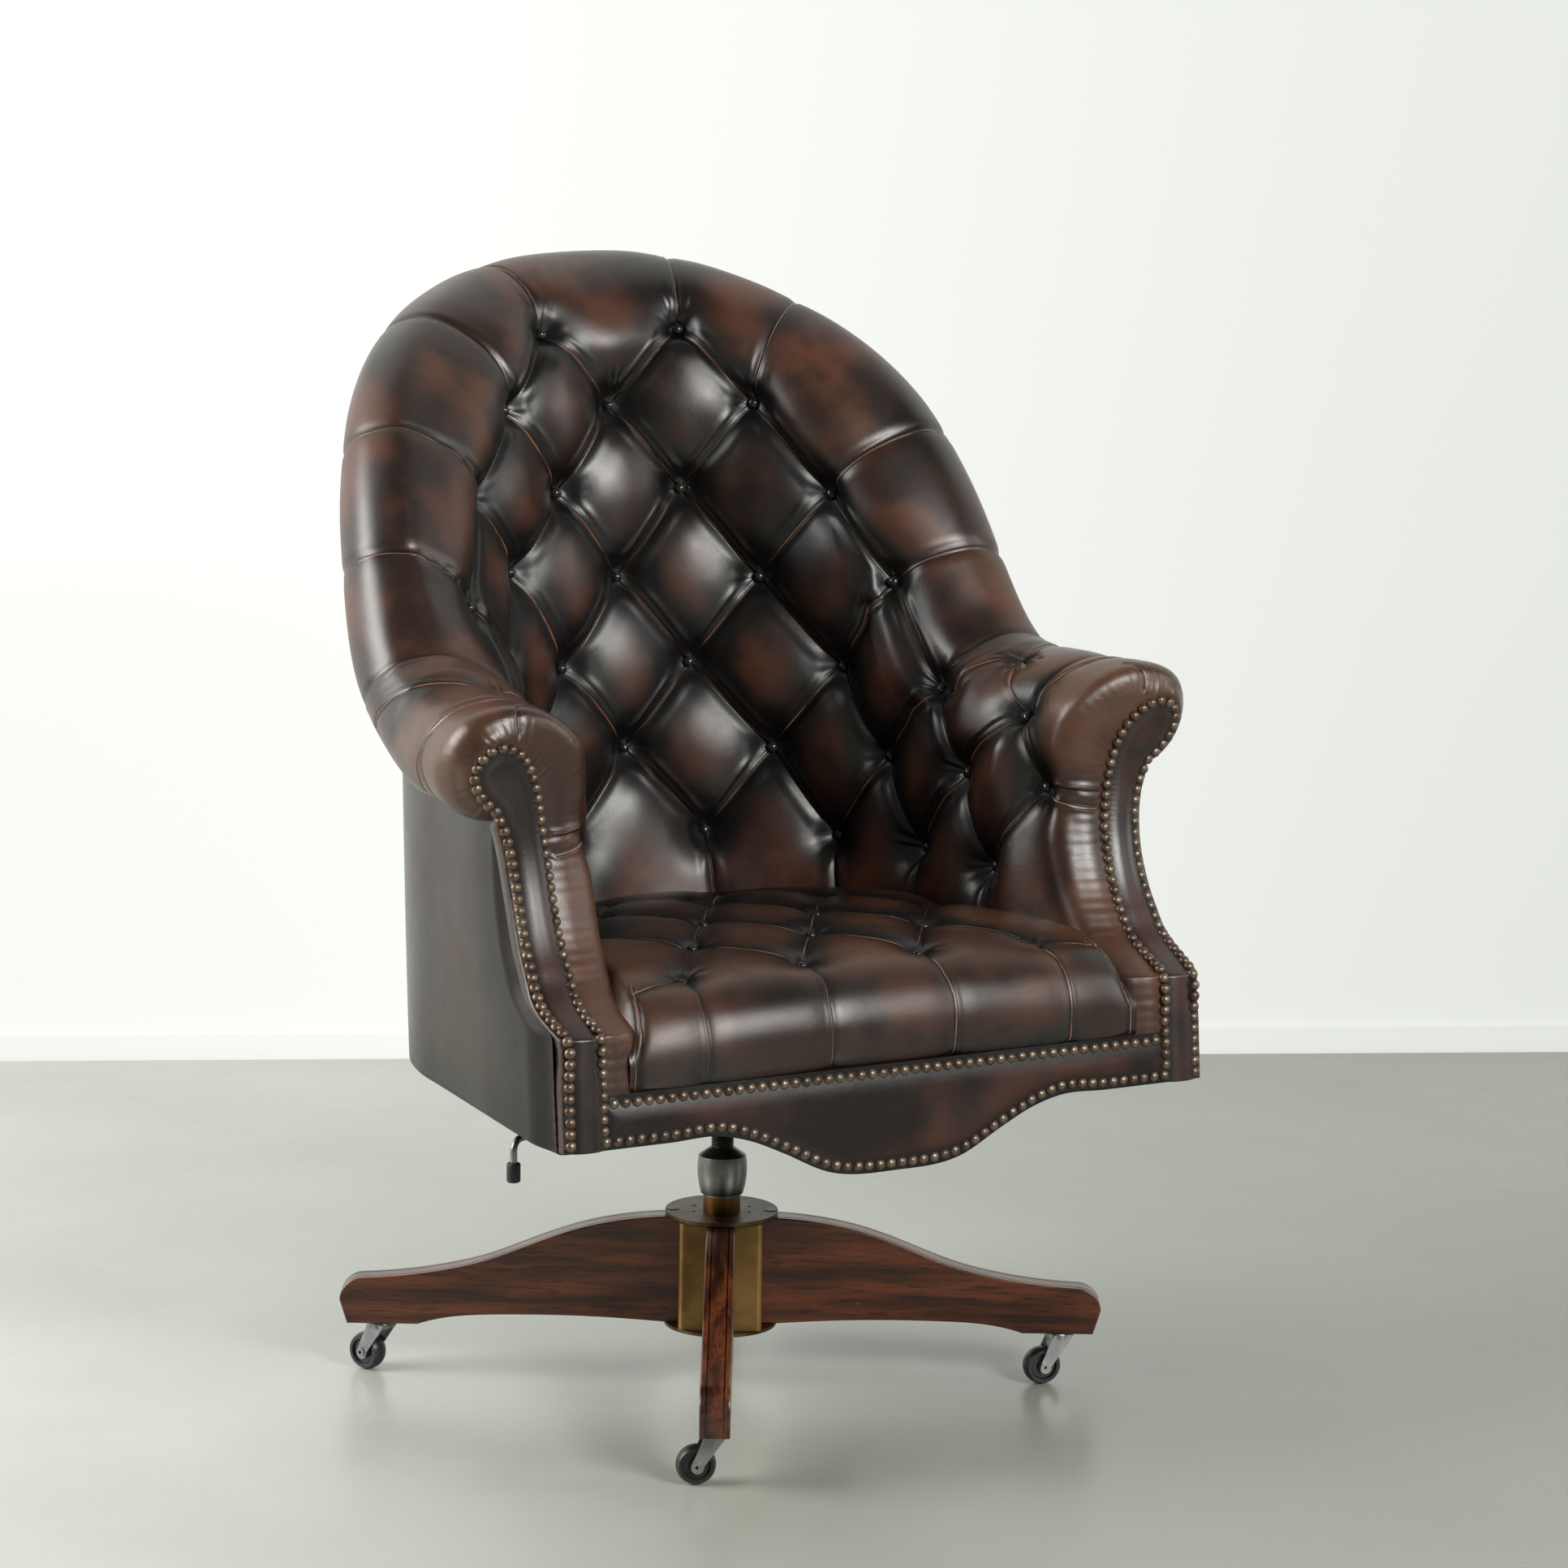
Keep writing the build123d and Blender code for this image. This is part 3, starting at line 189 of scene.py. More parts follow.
class Shade:
    # a small hand for building node trees: each call adds a node and gives back its output
    def __init__(self, name):
        self.material = bpy.data.materials.new(name)
        self.material.use_nodes = True
        self.tree = self.material.node_tree
        self.tree.nodes.clear()
        self.out = self.tree.nodes.new("ShaderNodeOutputMaterial")
        self.shader = self.tree.nodes.new("ShaderNodeBsdfPrincipled")
        self.tree.links.new(self.shader.outputs[0], self.out.inputs[0])
        self.place = self.tree.nodes.new("ShaderNodeTexCoord").outputs["Object"]

    def put(self, socket, value):
        if hasattr(value, "is_linked"):
            self.tree.links.new(value, socket)
        else:
            socket.default_value = value

    def set(self, **values):
        for key, value in values.items():
            self.put(self.shader.inputs[key.replace("_", " ")], value)

    def math(self, what, *values):
        node = self.tree.nodes.new("ShaderNodeMath")
        node.operation = what
        for socket, value in zip(node.inputs, values):
            self.put(socket, value)
        return node.outputs[0]

    def plus(self, first, second):
        return self.math("ADD", first, second)

    def times(self, product, *others):
        for value in others:
            product = self.math("MULTIPLY", product, value)
        return product

    def between(self, value, low, high, first=0.0, last=1.0):
        node = self.tree.nodes.new("ShaderNodeMapRange")
        node.interpolation_type = "SMOOTHSTEP"
        given = (("Value", value), ("From Min", low), ("From Max", high), ("To Min", first), ("To Max", last))
        for key, number in given:
            self.put(node.inputs[key], number)
        return node.outputs[0]

    def noise(self, scale, detail=4.0, rough=0.5, place=None, distort=0.0):
        node = self.tree.nodes.new("ShaderNodeTexNoise")
        self.put(node.inputs["Vector"], self.place if place is None else place)
        given = (("Scale", scale), ("Detail", detail), ("Roughness", rough), ("Distortion", distort))
        for key, number in given:
            node.inputs[key].default_value = number
        return node.outputs[0]

    def cellEdges(self, scale):
        node = self.tree.nodes.new("ShaderNodeTexVoronoi")
        node.feature = "DISTANCE_TO_EDGE"
        self.put(node.inputs["Vector"], self.place)
        node.inputs["Scale"].default_value = scale
        return node.outputs[0]

    def stretched(self, scale, turn=(0.0, 0.0, 0.0), kind="POINT"):
        node = self.tree.nodes.new("ShaderNodeMapping")
        node.vector_type = kind
        self.put(node.inputs["Vector"], self.place)
        node.inputs["Scale"].default_value = scale
        node.inputs["Rotation"].default_value = turn
        return node.outputs[0]

    def attribute(self, name):
        node = self.tree.nodes.new("ShaderNodeAttribute")
        node.attribute_name = name
        return node.outputs["Fac"]

    def mix(self, share, first, second):
        node = self.tree.nodes.new("ShaderNodeMix")
        node.data_type = "RGBA"
        for socket, value in ((node.inputs[0], share), (node.inputs[6], first), (node.inputs[7], second)):
            self.put(socket, value)
        return node.outputs[2]

    def bump(self, height, strength, distance, before=None):
        node = self.tree.nodes.new("ShaderNodeBump")
        node.inputs["Strength"].default_value = strength
        node.inputs["Distance"].default_value = distance
        self.put(node.inputs["Height"], height)
        if before is not None:
            self.put(node.inputs["Normal"], before)
        return node.outputs[0]


def tone(*screen):
    # a colour given as it looks on a screen, 0 to 255, turned to linear light
    share = np.array(screen) / 255
    linear = np.where(share <= 0.04045, share / 12.92, ((share + 0.055) / 1.055) ** 2.4)
    return (*[float(v) for v in linear], 1.0)


# Each hide's tones: the crown's darker and lighter one, the one where it sinks or borders (dark patina and
# painted shade), and the worn one
hides = {
    "tufted_hide": {"tones": ((38, 22, 16), (88, 50, 32), (8, 6, 6), (84, 53, 34)), "shade": 0.04},
    "seat_hide": {"tones": ((40, 24, 17), (80, 47, 31), (9, 7, 7), (96, 62, 41)), "shade": 0.06,
                  "well": 10.0},
    "facing_hide": {"tones": ((22, 13, 10), (58, 29, 20), (8, 7, 7), (120, 70, 44)), "tufted": False},
    "outer_hide": {"tones": ((24, 15, 11), (54, 30, 20), (10, 8, 8), (120, 66, 40)), "tufted": False,
                   "gloss": 0.30, "sheen": 0.4}}
# tones: painted shade in the wells, each fold's copper lip (rubbed, painted highlight), painted shade in its
# crack
wellShadeTone, lipWearAndGlintTone, crackShadeTone = tone(8, 7, 8), tone(148, 98, 68), tone(6, 5, 5)


def hide(name, tones, gloss=0.32, tufted=True, shade=0.0, sheen=0.6, well=17.0):
    # rubbed hide: chestnut on the crowns, near black where it sinks (dark patina and painted shade in the
    # hollows), tan where worn, and along each fold of a tufted one a copper line (rubbed lip with a painted
    # highlight) beside a dark crack of painted shade; painted shade also darkens the wells round the buttons
    s = Shade(name)
    dark, light, edge, worn = (tone(*c) for c in tones)
    wide = s.noise(7.0, 2.0, 0.5)
    middle = s.noise(26.0, 3.0, 0.52)
    fine = s.noise(170.0, 5.0, 0.65)
    mottle = s.plus(s.times(wide, 0.66), s.times(middle, 0.34))
    unrest = s.math("SUBTRACT", mottle, 0.5)
    body = s.mix(s.between(mottle, 0.41, 0.60), dark, light)
    if tufted:
        fold, near, wear = s.attribute("fold"), s.attribute("near"), s.attribute("worn")
        close = s.between(s.attribute("gap"), 4.5, 7.0, 1.0, 0.0)  # nothing is drawn farther from a fold
        depth = s.plus(s.attribute("sunk_and_shade"), s.times(unrest, 1.3))
        body = s.mix(s.times(wear, s.between(mottle, 0.38, 0.60, 0.3, 1.0)), body, worn)
        # painted shade, with the hide's dark patina: towards the edge tone where the sheet sinks to folds and
        # buttons
        body = s.mix(s.between(depth, 0.0 - shade, 0.46 - shade), body, edge)
        cloud = s.between(s.noise(9.0, 2.0, 0.5), 0.48, 0.70)
        body = s.mix(s.times(cloud, s.math("SUBTRACT", 0.85, wear)), body, edge)
        # painted shade in the wells: near black round each button
        body = s.mix(s.between(near, 4.0, well, 0.9, 0.0), body, wellShadeTone)
        # the copper line on each fold's lip: rubbed hide with a painted highlight
        line = s.times(s.between(fold, 0.1, 0.5), s.between(fold, 0.8, 1.5, 1.0, 0.0),
                       s.between(middle, 0.36, 0.56, 0.2, 1.0), close, s.between(near, 9.0, 30.0), 0.85)
        # painted shade: the dark crack along each fold
        crackShade = s.times(s.between(fold, -4.0, -0.4), s.between(fold, -0.1, 0.3, 1.0, 0.0), close, 0.92)
        body = s.mix(crackShade, body, crackShadeTone)
        body = s.mix(line, body, lipWearAndGlintTone)
        s.set(Specular_IOR_Level=sheen)
    else:
        # darker near the nail rows and edges, and painted shade on the outside under the roll and on its
        # front part
        rub_and_shade = s.plus(s.attribute("rub_and_shade"), s.times(unrest, 1.2))
        body = s.mix(s.between(rub_and_shade, 0.15, 0.85), body, edge)
        body = s.mix(s.times(s.attribute("worn"), s.between(fine, 0.40, 0.58)), body, worn)
        s.set(Specular_IOR_Level=s.times(s.attribute("polish"), sheen))
    rough = s.plus(s.times(s.between(wide, 0.35, 0.65), 0.10), gloss - 0.07)
    pores = s.times(s.between(s.cellEdges(1000.0), 0.0, 0.25), 0.5)
    normal = s.bump(s.plus(pores, s.times(fine, 0.4)), 0.20, 0.00032)
    normal = s.bump(s.noise(16.0, 2.0, 0.5), 0.14, 0.004, normal)
    normal = s.bump(s.noise(70.0, 2.0, 0.5), 0.07, 0.0012, normal)
    if tufted:
        lip = s.times(s.between(fold, -1.0, 0.6), s.between(fold, 1.0, 3.6, 1.0, 0.0), close)
        normal = s.bump(lip, 0.6, 0.0014, normal)
        normal = s.bump(s.times(s.noise(34.0, 5.0, 0.62, distort=1.4), wear), 0.30, 0.0022, normal)
    s.set(Base_Color=body, Roughness=s.plus(rough, s.times(fine, 0.10)), Normal=normal)
    return s.material


# Each metal's light and dark tone, roughness, how metallic it is, and the scale of its cloudy patches
metals = {
    "nail_brass": ((118, 103, 88), (78, 62, 54), 0.38, 0.7, 90.0),
    "brass_lacquer": ((150, 118, 68), (112, 82, 44), 0.42, 0.7, 14.0),
    "tube_brass": ((120, 86, 46), (84, 58, 32), 0.4, 1.0, 14.0),
    "dark_brass": ((92, 78, 56), (48, 40, 30), 0.42, 1.0, 14.0),
    "turned_steel": ((132, 132, 128), (84, 84, 82), 0.34, 1.0, 14.0, (1.0, 1.0, 40.0)),
    "oiled_steel": ((70, 68, 64), (36, 34, 32), 0.38, 1.0, 14.0),
    "zinc_steel": ((168, 170, 170), (120, 122, 124), 0.42, 1.0, 14.0),
    "lever_steel": ((150, 150, 148), (104, 104, 102), 0.34, 1.0, 14.0)}


def metal(name, light, dark, rough, metallic, patch, spin=None):
    # worn metal: a light and a dark tone in cloudy patches, with fine turning or polishing marks
    s = Shade(name)
    cloud, fine = s.noise(patch, 4.0, 0.6), s.noise(240.0, 4.0, 0.6)
    marks = s.noise(60.0, 3.0, 0.7, place=s.stretched(spin)) if spin else fine
    body = s.mix(s.between(cloud, 0.35, 0.68), tone(*light), tone(*dark))
    body = s.mix(s.between(marks, 0.62, 0.8, 0.0, 0.15), body, (0.02, 0.018, 0.015, 1))
    s.set(Base_Color=body, Roughness=s.plus(s.times(marks, 0.22), rough - 0.11),
          Normal=s.bump(marks, 0.08, 0.0004), Metallic=metallic)
    return s.material


def timber(name, turn):
    # polished mahogany: noise drawn out along the leg gives the grain, darker pores, and a clear coat on top
    s = Shade(name)
    place = s.stretched((0.30, 0.020, 0.026), (0.0, 0.0, turn), "TEXTURE")
    figure = s.noise(1.5, 5.0, 0.55, place=place, distort=0.35)
    pore = s.noise(9.0, 4.0, 0.7, place=place)
    chip = s.between(s.noise(34.0, 6.0, 0.72), 0.69, 0.73)
    body = s.mix(s.between(figure, 0.34, 0.66), tone(42, 19, 10), tone(96, 50, 27))
    body = s.mix(s.between(pore, 0.50, 0.66, 0.0, 0.75), body, tone(20, 12, 9))
    body = s.mix(s.times(chip, 0.5), body, tone(132, 84, 56))
    s.set(Base_Color=body, Roughness=s.plus(s.times(s.noise(26.0), 0.24), 0.20),
          Normal=s.bump(pore, 0.12, 0.0004), Coat_Weight=0.2, Coat_Roughness=0.18)
    return s.material


# Each plain finish's tone, roughness, and the strength and scale of its fine surface
plains = {
    "button_hide": ((26, 20, 18), 0.20, 0.04, 180.0), "black_steel": ((20, 20, 21), 0.42, 0.1, 180.0),
    "castor_black": ((20, 20, 21), 0.38, 0.1, 180.0), "knob_black": ((14, 14, 15), 0.24, 0.1, 180.0),
    "bushing": ((214, 208, 194), 0.5, 0.1, 180.0), "grip_rubber": ((16, 16, 16), 0.55, 0.1, 180.0),
    "frame_beech": ((186, 152, 112), 0.62, 0.2, 90.0), "frame_board": ((160, 124, 88), 0.66, 0.2, 90.0),
    "black_cloth": ((18, 18, 18), 0.85, 0.5, 700.0)}


def plain(name, colour, rough, bump, scale):
    # moulded plastic, rubber, paint, cloth or raw wood: two close tones, a fine surface and dust
    s = Shade(name)
    cloud, fine, colour = s.noise(22.0), s.noise(scale, 3.0), tone(*colour)
    lighter = (*[min(1.0, v * 1.8 + 0.004) for v in colour[:3]], 1.0)
    s.set(Base_Color=s.mix(s.between(cloud, 0.4, 0.75), colour, lighter),
          Roughness=s.plus(s.times(fine, 0.2), rough - 0.1), Normal=s.bump(fine, bump, 0.0005))
    return s.material


finishes = {name: hide(name, **look) for name, look in hides.items()}
finishes.update({name: metal(name, *look) for name, look in metals.items()})
finishes.update({name: plain(name, *look) for name, look in plains.items()})
baseTurn = math.radians(-29.74)
finishes["mahogany_a"] = timber("mahogany_a", baseTurn)
finishes["mahogany_b"] = timber("mahogany_b", baseTurn + math.pi / 2)
corners = ("front", "right", "back", "left")
nodeFinishes = {
    "mahogany_a": "right_leg left_leg", "mahogany_b": "front_leg back_leg", "brass_lacquer": "hub_box",
    "tube_brass": "column_tube", "dark_brass": "hub_flange hub_bottom_plate",
    "turned_steel": "height_collar thrust_washer", "bushing": "column_bush", "knob_black": "tension_knob",
    "oiled_steel": "hub_screws key_pin spindle spindle_nut swivel_washer tilt_axle plate_screws tension_bolt "
                   "tension_spring spring_cup",
    "black_steel": "tilt_bracket seat_plate", "lever_steel": "tilt_lever", "grip_rubber": "lever_grip",
    "frame_board": "seat_deck tub_panel", "black_cloth": "dust_cover",
    "frame_beech": "back_rail side_rails front_rail corner_blocks arm_posts frame_posts",
    "zinc_steel": " ".join(["castor_sockets"] + [f"{c}_castor_fork {c}_castor_axle" for c in corners]),
    "castor_black": " ".join(f"{c}_castor_wheel" for c in corners)}
for finish, named in nodeFinishes.items():
    for key in named.split():
        nodes[key].data.materials.clear()
        nodes[key].data.materials.append(finishes[finish])
print("stage: materials")

# The tub: wall coordinates are the run round the hollow line, how far out of it, and the level. The hollow
# line is a half circle with arms that flare, and the back leans about one level. The rim is the roll's level
# at shares of the quarter circle.
tub = {
    "radius": 230.0, "centre": -20.0, "flare": 5.4, "lean": 6.8, "leanLevel": 586.0, "rollRadius": 54.0,
    "rim": [(0.0, 1014), (0.111, 1013), (0.222, 1006), (0.333, 990), (0.444, 970), (0.556, 939), (0.667, 890),
            (0.778, 800), (0.889, 706), (1.0, 676), (1.15, 657), (2.5, 657)]}
# The front: a raked plane up to the block's top, then an ogee of shares of its rise and of its sweep
front = {
    "place": -317.4, "level": 337.0, "rake": 5.35, "blockTop": 431.0, "back": 108.6, "rise": 245.0,
    "ogee": [(0.0, 0.0), (0.078, 0.385), (0.212, 0.67), (0.384, 0.872), (0.547, 0.972), (0.69, 1.0),
             (0.865, 0.954), (1.0, 0.84), (1.16, 0.70), (1.3, 0.55)]}
hollowRadius, hollowCentre, rollRadius = tub["radius"], tub["centre"], tub["rollRadius"]
leanSlope, armFlare = math.tan(math.radians(tub["lean"])), math.radians(tub["flare"])
quarterRun = math.pi / 2 * hollowRadius
frontSlope = math.tan(math.radians(front["rake"]))

lineStep = 0.5
lineRun = np.arange(0, 760, lineStep)
heading = np.where(lineRun < quarterRun, lineRun / hollowRadius, math.pi / 2 - armFlare)
heading = np.where(lineRun < 60, lineRun / hollowRadius, softened(heading, lineStep, 14.0))
lineX = np.concatenate([[0], np.cumsum(np.cos(heading[:-1]) * lineStep)])
lineY = hollowCentre + hollowRadius - np.concatenate([[0], np.cumsum(np.sin(heading[:-1]) * lineStep)])
lineBend = softened(np.gradient(heading, lineStep), lineStep, 12.0)
lineLean = softened(np.where(lineRun < quarterRun, np.cos(lineRun / hollowRadius), 0), lineStep, 10.0)
rimFull = np.interp(lineRun / quarterRun, *np.transpose(tub["rim"]))
rimFull = softened(np.concatenate([rimFull[:0:-1], rimFull]), lineStep, 14.0)
lineRim = rimFull[len(lineRun) - 1:]
lineSlope = softened(np.gradient(rimFull, lineStep), lineStep, 22.0)[len(lineRun) - 1:]


def onLine(run, table):
    # a value of the hollow line's table at a run, the same on both sides
    return np.interp(np.abs(run), lineRun, table)


def wallPoint(run, out, level):
    # the hollow line's place, moved outwards and leaned back by (level - 586) tan 6.8 degrees cos(angle)
    side = np.where(np.asarray(run) >= 0, 1.0, -1.0)
    turn = onLine(run, heading)
    x = side * (onLine(run, lineX) + np.sin(turn) * out)
    back = (level - tub["leanLevel"]) * leanSlope * onLine(run, lineLean)
    y = onLine(run, lineY) + np.cos(turn) * out + back
    return np.stack([x, y, level + 0 * x], -1)


def rollReach(run):
    # how far the roll's middle lies outside the hollow line: 75 behind, 94 at the front of the arms, fuller
    # on the left wing and drawn in on the right one
    reach = 75 + 19 * np.clip((np.abs(run) - quarterRun / 2) / (quarterRun / 2 + 298.7), 0, 1)
    return reach + 9 * swell(run, -275, 115) - 8 * swell(run, 300, 75)


def rimLevel(run):
    # the roll's height: the table's, a little higher right of the middle
    return onLine(run, lineRim) + 7 * swell(run, 80, 120)


def rimSlope(run):
    # the rim's rise per length along the roll's middle: the hollow line's slope over 1 + reach times its bend
    metric = 1 + rollReach(run) * onLine(run, lineBend)
    return onLine(run, lineSlope) / metric, metric


def frontPlane(level):
    # the raked plane's place at a level
    return front["place"] + (level - front["level"]) * frontSlope


def frontY(level):
    # the front surface: the plane up to the block's top, then the ogee that sweeps back and forward again
    up, back = np.transpose(front["ogee"])
    level = np.asarray(level, float)
    sweep = curveThrough(up, back[:, None], (level - front["blockTop"]) / front["rise"])[..., 0]
    return np.where(level < front["blockTop"], frontPlane(level),
                    frontPlane(front["blockTop"]) + front["back"] * sweep)


def toFront(run, level, last, short):
    # runs past the bend stretched evenly, so that the last one stops short of the front surface by a gap
    start = quarterRun + 36.0
    end = quarterRun + (hollowCentre - frontY(level) - short) / math.cos(armFlare)
    r = np.abs(run)
    r = np.where(r > start, start + (r - start) * (end - start) / (last - start), r)
    return np.where(run >= 0, r, -r)


# Nail rows on the front of the right arm, x and z, from the bottom up
nailRows = {
    "outer": [(328.3, 338), (328.3, 385), (328.4, 431.0), (330.8, 440.5), (331.3, 451.0), (329.4, 465.9),
              (328.4, 484.9), (327.5, 505.5), (327.0, 527.4), (328.0, 550.7), (330.3, 573.4), (335.3, 595.9),
              (345.0, 616.5)],
    "inner": [(296.0, 348), (296.0, 385), (296.2, 431.6), (296.5, 444.7), (294.8, 459.0), (294.1, 478.4),
              (294.0, 504.7), (294.4, 532.3), (295.5, 560.9), (298.9, 589.5), (303.5, 618.3), (312.3, 646.3),
              (323.0, 662.5)],
    "scroll": [(334.1, 670.9), (343.2, 674.5), (352.4, 674.1), (360.4, 669.8), (366.0, 662.5), (369.0, 653.4),
               (368.0, 643.5), (363.0, 634.4), (356.1, 626.0), (345.0, 616.5)],
    "pitch": 10.2, "apronPitch": 11.5, "radius": 5.25, "high": 3.9}
outerRow, innerRow, scrollRow = nailRows["outer"], nailRows["inner"], nailRows["scroll"]


# The leather of the back, arms and roll is one sheet. Stations run round the tub, and at each a line goes up
# the wall and over the roll. The line is an envelope that touches the crowns; buttons and folds are pressed
# into it.
sheet = {"pillow": 26.0, "stations": 701, "rows": 380, "foldRows": 18, "armRun": 279.0, "coverOut": 84.3}
lastStation = quarterRun + sheet["armRun"]


def wallInset(run):
    # how far the crowns stand inside the hollow line: full in the tub, little at the front border of the arms
    border = smoothStep(lastStation - 120, lastStation - 10, np.abs(run))
    return -sheet["pillow"] + (sheet["pillow"] - 5.0) * border


def coverOut(run):
    # the outside of the tub, drawn in by 7.5 over the last 40 before the front
    return sheet["coverOut"] - 7.5 * smoothStep(lastStation - 42, lastStation + 6, np.abs(run))


def rollSection(run):
    # places of the line over the roll, out and up from its middle, at each station; slimmer at the right neck
    reach, wallIn, zero = rollReach(run), wallInset(run), 0 * run
    size = rollRadius - 7 * swell(run, 350, 48)
    points = [(-reach + wallIn, zero - rollRadius), (-reach + wallIn + 3, zero - rollRadius * 0.4),
              (-reach * 0.86 + wallIn * 0.5, zero + size * 0.30),
              (-reach * 0.50 + wallIn * 0.2, zero + size * 0.82),
              (-size * 0.1, size), (size * 0.69, size * 0.72), (size, zero),
              (size * 0.76, -size * 0.65), (size * 0.25, -size * 0.97),
              (coverOut(run) - reach - 4, zero - rollRadius * 1.02)]
    return np.stack([np.stack(p, -1) for p in points])


def wingOut(run, level):
    # the left wing opens outwards above the arm, by up to 27, and its foot stands 8 in
    away = curveThrough([-700, -520, -420, -340, -285, -216, -143, -90, 0, 700],
                        np.array([0, 0, 12, 26, 27, 21, 5, 0, 0, 0.0])[:, None], run)[..., 0]
    return away * smoothStep(680, 790, level) - 8 * swell(run, -225, 50) * swell(level, 680, 50)


def envelope():
    # stations, then per station a line in wall coordinates, spaced evenly along its length
    run = np.linspace(-lastStation, lastStation, sheet["stations"])
    section = curveThrough(np.linspace(0, 1, 10), rollSection(run), np.linspace(0, 1, 160))
    out, up = section[..., 0], section[..., 1]
    slope, metric = rimSlope(run)
    norm = np.sqrt(1 + slope ** 2)
    side = np.where(run >= 0, 1.0, -1.0)
    roll = np.stack([side * (np.abs(run) - up * slope / norm / metric), rollReach(run) + out,
                     rimLevel(run) + up / norm], -1)
    low = 412 - 38 * smoothStep(quarterRun + 120, quarterRun + 220, np.abs(run))
    t = np.linspace(0, 1, 120)[:-1, None]
    wall = np.stack([run * (1 - t) + roll[0, :, 0] * t, roll[0, :, 1] + 0 * t,
                     low * (1 - t) + roll[0, :, 2] * t], -1)
    run, out, level = np.moveaxis(np.concatenate([wall, roll]), -1, 0)
    out = out + wingOut(run, level) * (1 - smoothStep(25, 112, out))
    points = wallPoint(toFront(run, level, lastStation, 17.0), out, level).transpose(1, 0, 2)
    even = np.empty((sheet["stations"], sheet["rows"], 3))
    for i, line in enumerate(points):
        length = along(line)
        target = np.linspace(0, length[-1], sheet["rows"])
        even[i] = np.stack([np.interp(target, length, line[:, k]) for k in range(3)], -1)
    smooth = blurred(even, 1, 6, 2.6, mode="edge")
    smooth[:, :7], smooth[:, -7:] = even[:, :7], even[:, -7:]
    return smooth


def frontFold(whole, last):
    # beyond each end the sheet turns round the front of the arm and ends under the nails: a cubic Bezier line
    # from each place of the edge to the place of the inner row at its level, or at its share of the scroll
    side = 1 if last else -1
    edge = whole[-1] if last else whole[0]
    fine = spaced([(296.0, 366.0)] + innerRow[1:] + scrollRow, 400)
    split = np.searchsorted(fine[:, 1], 600.0)
    upper = int(np.argmax(edge[:, 2] > 600.0))
    run, length = along(fine), along(edge[upper:])
    share = np.concatenate([np.interp(edge[:upper, 2], fine[:split, 1], run[:split]),
                            run[split] + length / length[-1] * (run[-1] - run[split])])
    x, z = (np.interp(share, run, fine[:, k]) for k in range(2))
    aim = np.stack([side * x, frontY(z) + 0.5, z], -1)
    first = edge + np.array([side * math.sin(armFlare), -math.cos(armFlare), 0.0]) * 15.0
    second = aim + (edge - aim) * np.array([0.62, 0, 0.62]) + np.array([0, -5.5, 0])
    t = np.linspace(0, 1, sheet["foldRows"] + 1)[1:, None, None]
    fold = (1 - t) ** 3 * edge + 3 * (1 - t) ** 2 * t * first + 3 * (1 - t) * t ** 2 * second + t ** 3 * aim
    return fold if last else fold[::-1]


base = envelope()
base = np.concatenate([frontFold(base, False), base, frontFold(base, True)])
fromEnd = np.minimum(np.arange(len(base)), np.arange(len(base))[::-1])
share = (smoothStep(0, 9, fromEnd) * smoothStep(58, 34, fromEnd))[:, None, None]  # of the turned borders
base = base * (1 - share) + blurred(base, 0, 16, 6.0, mode="reflect", reflect_type="odd") * share
baseNormal = gridNormals(base, (len(base) // 2, 40), (0, -1, 0))
print("stage: envelope", base.shape)

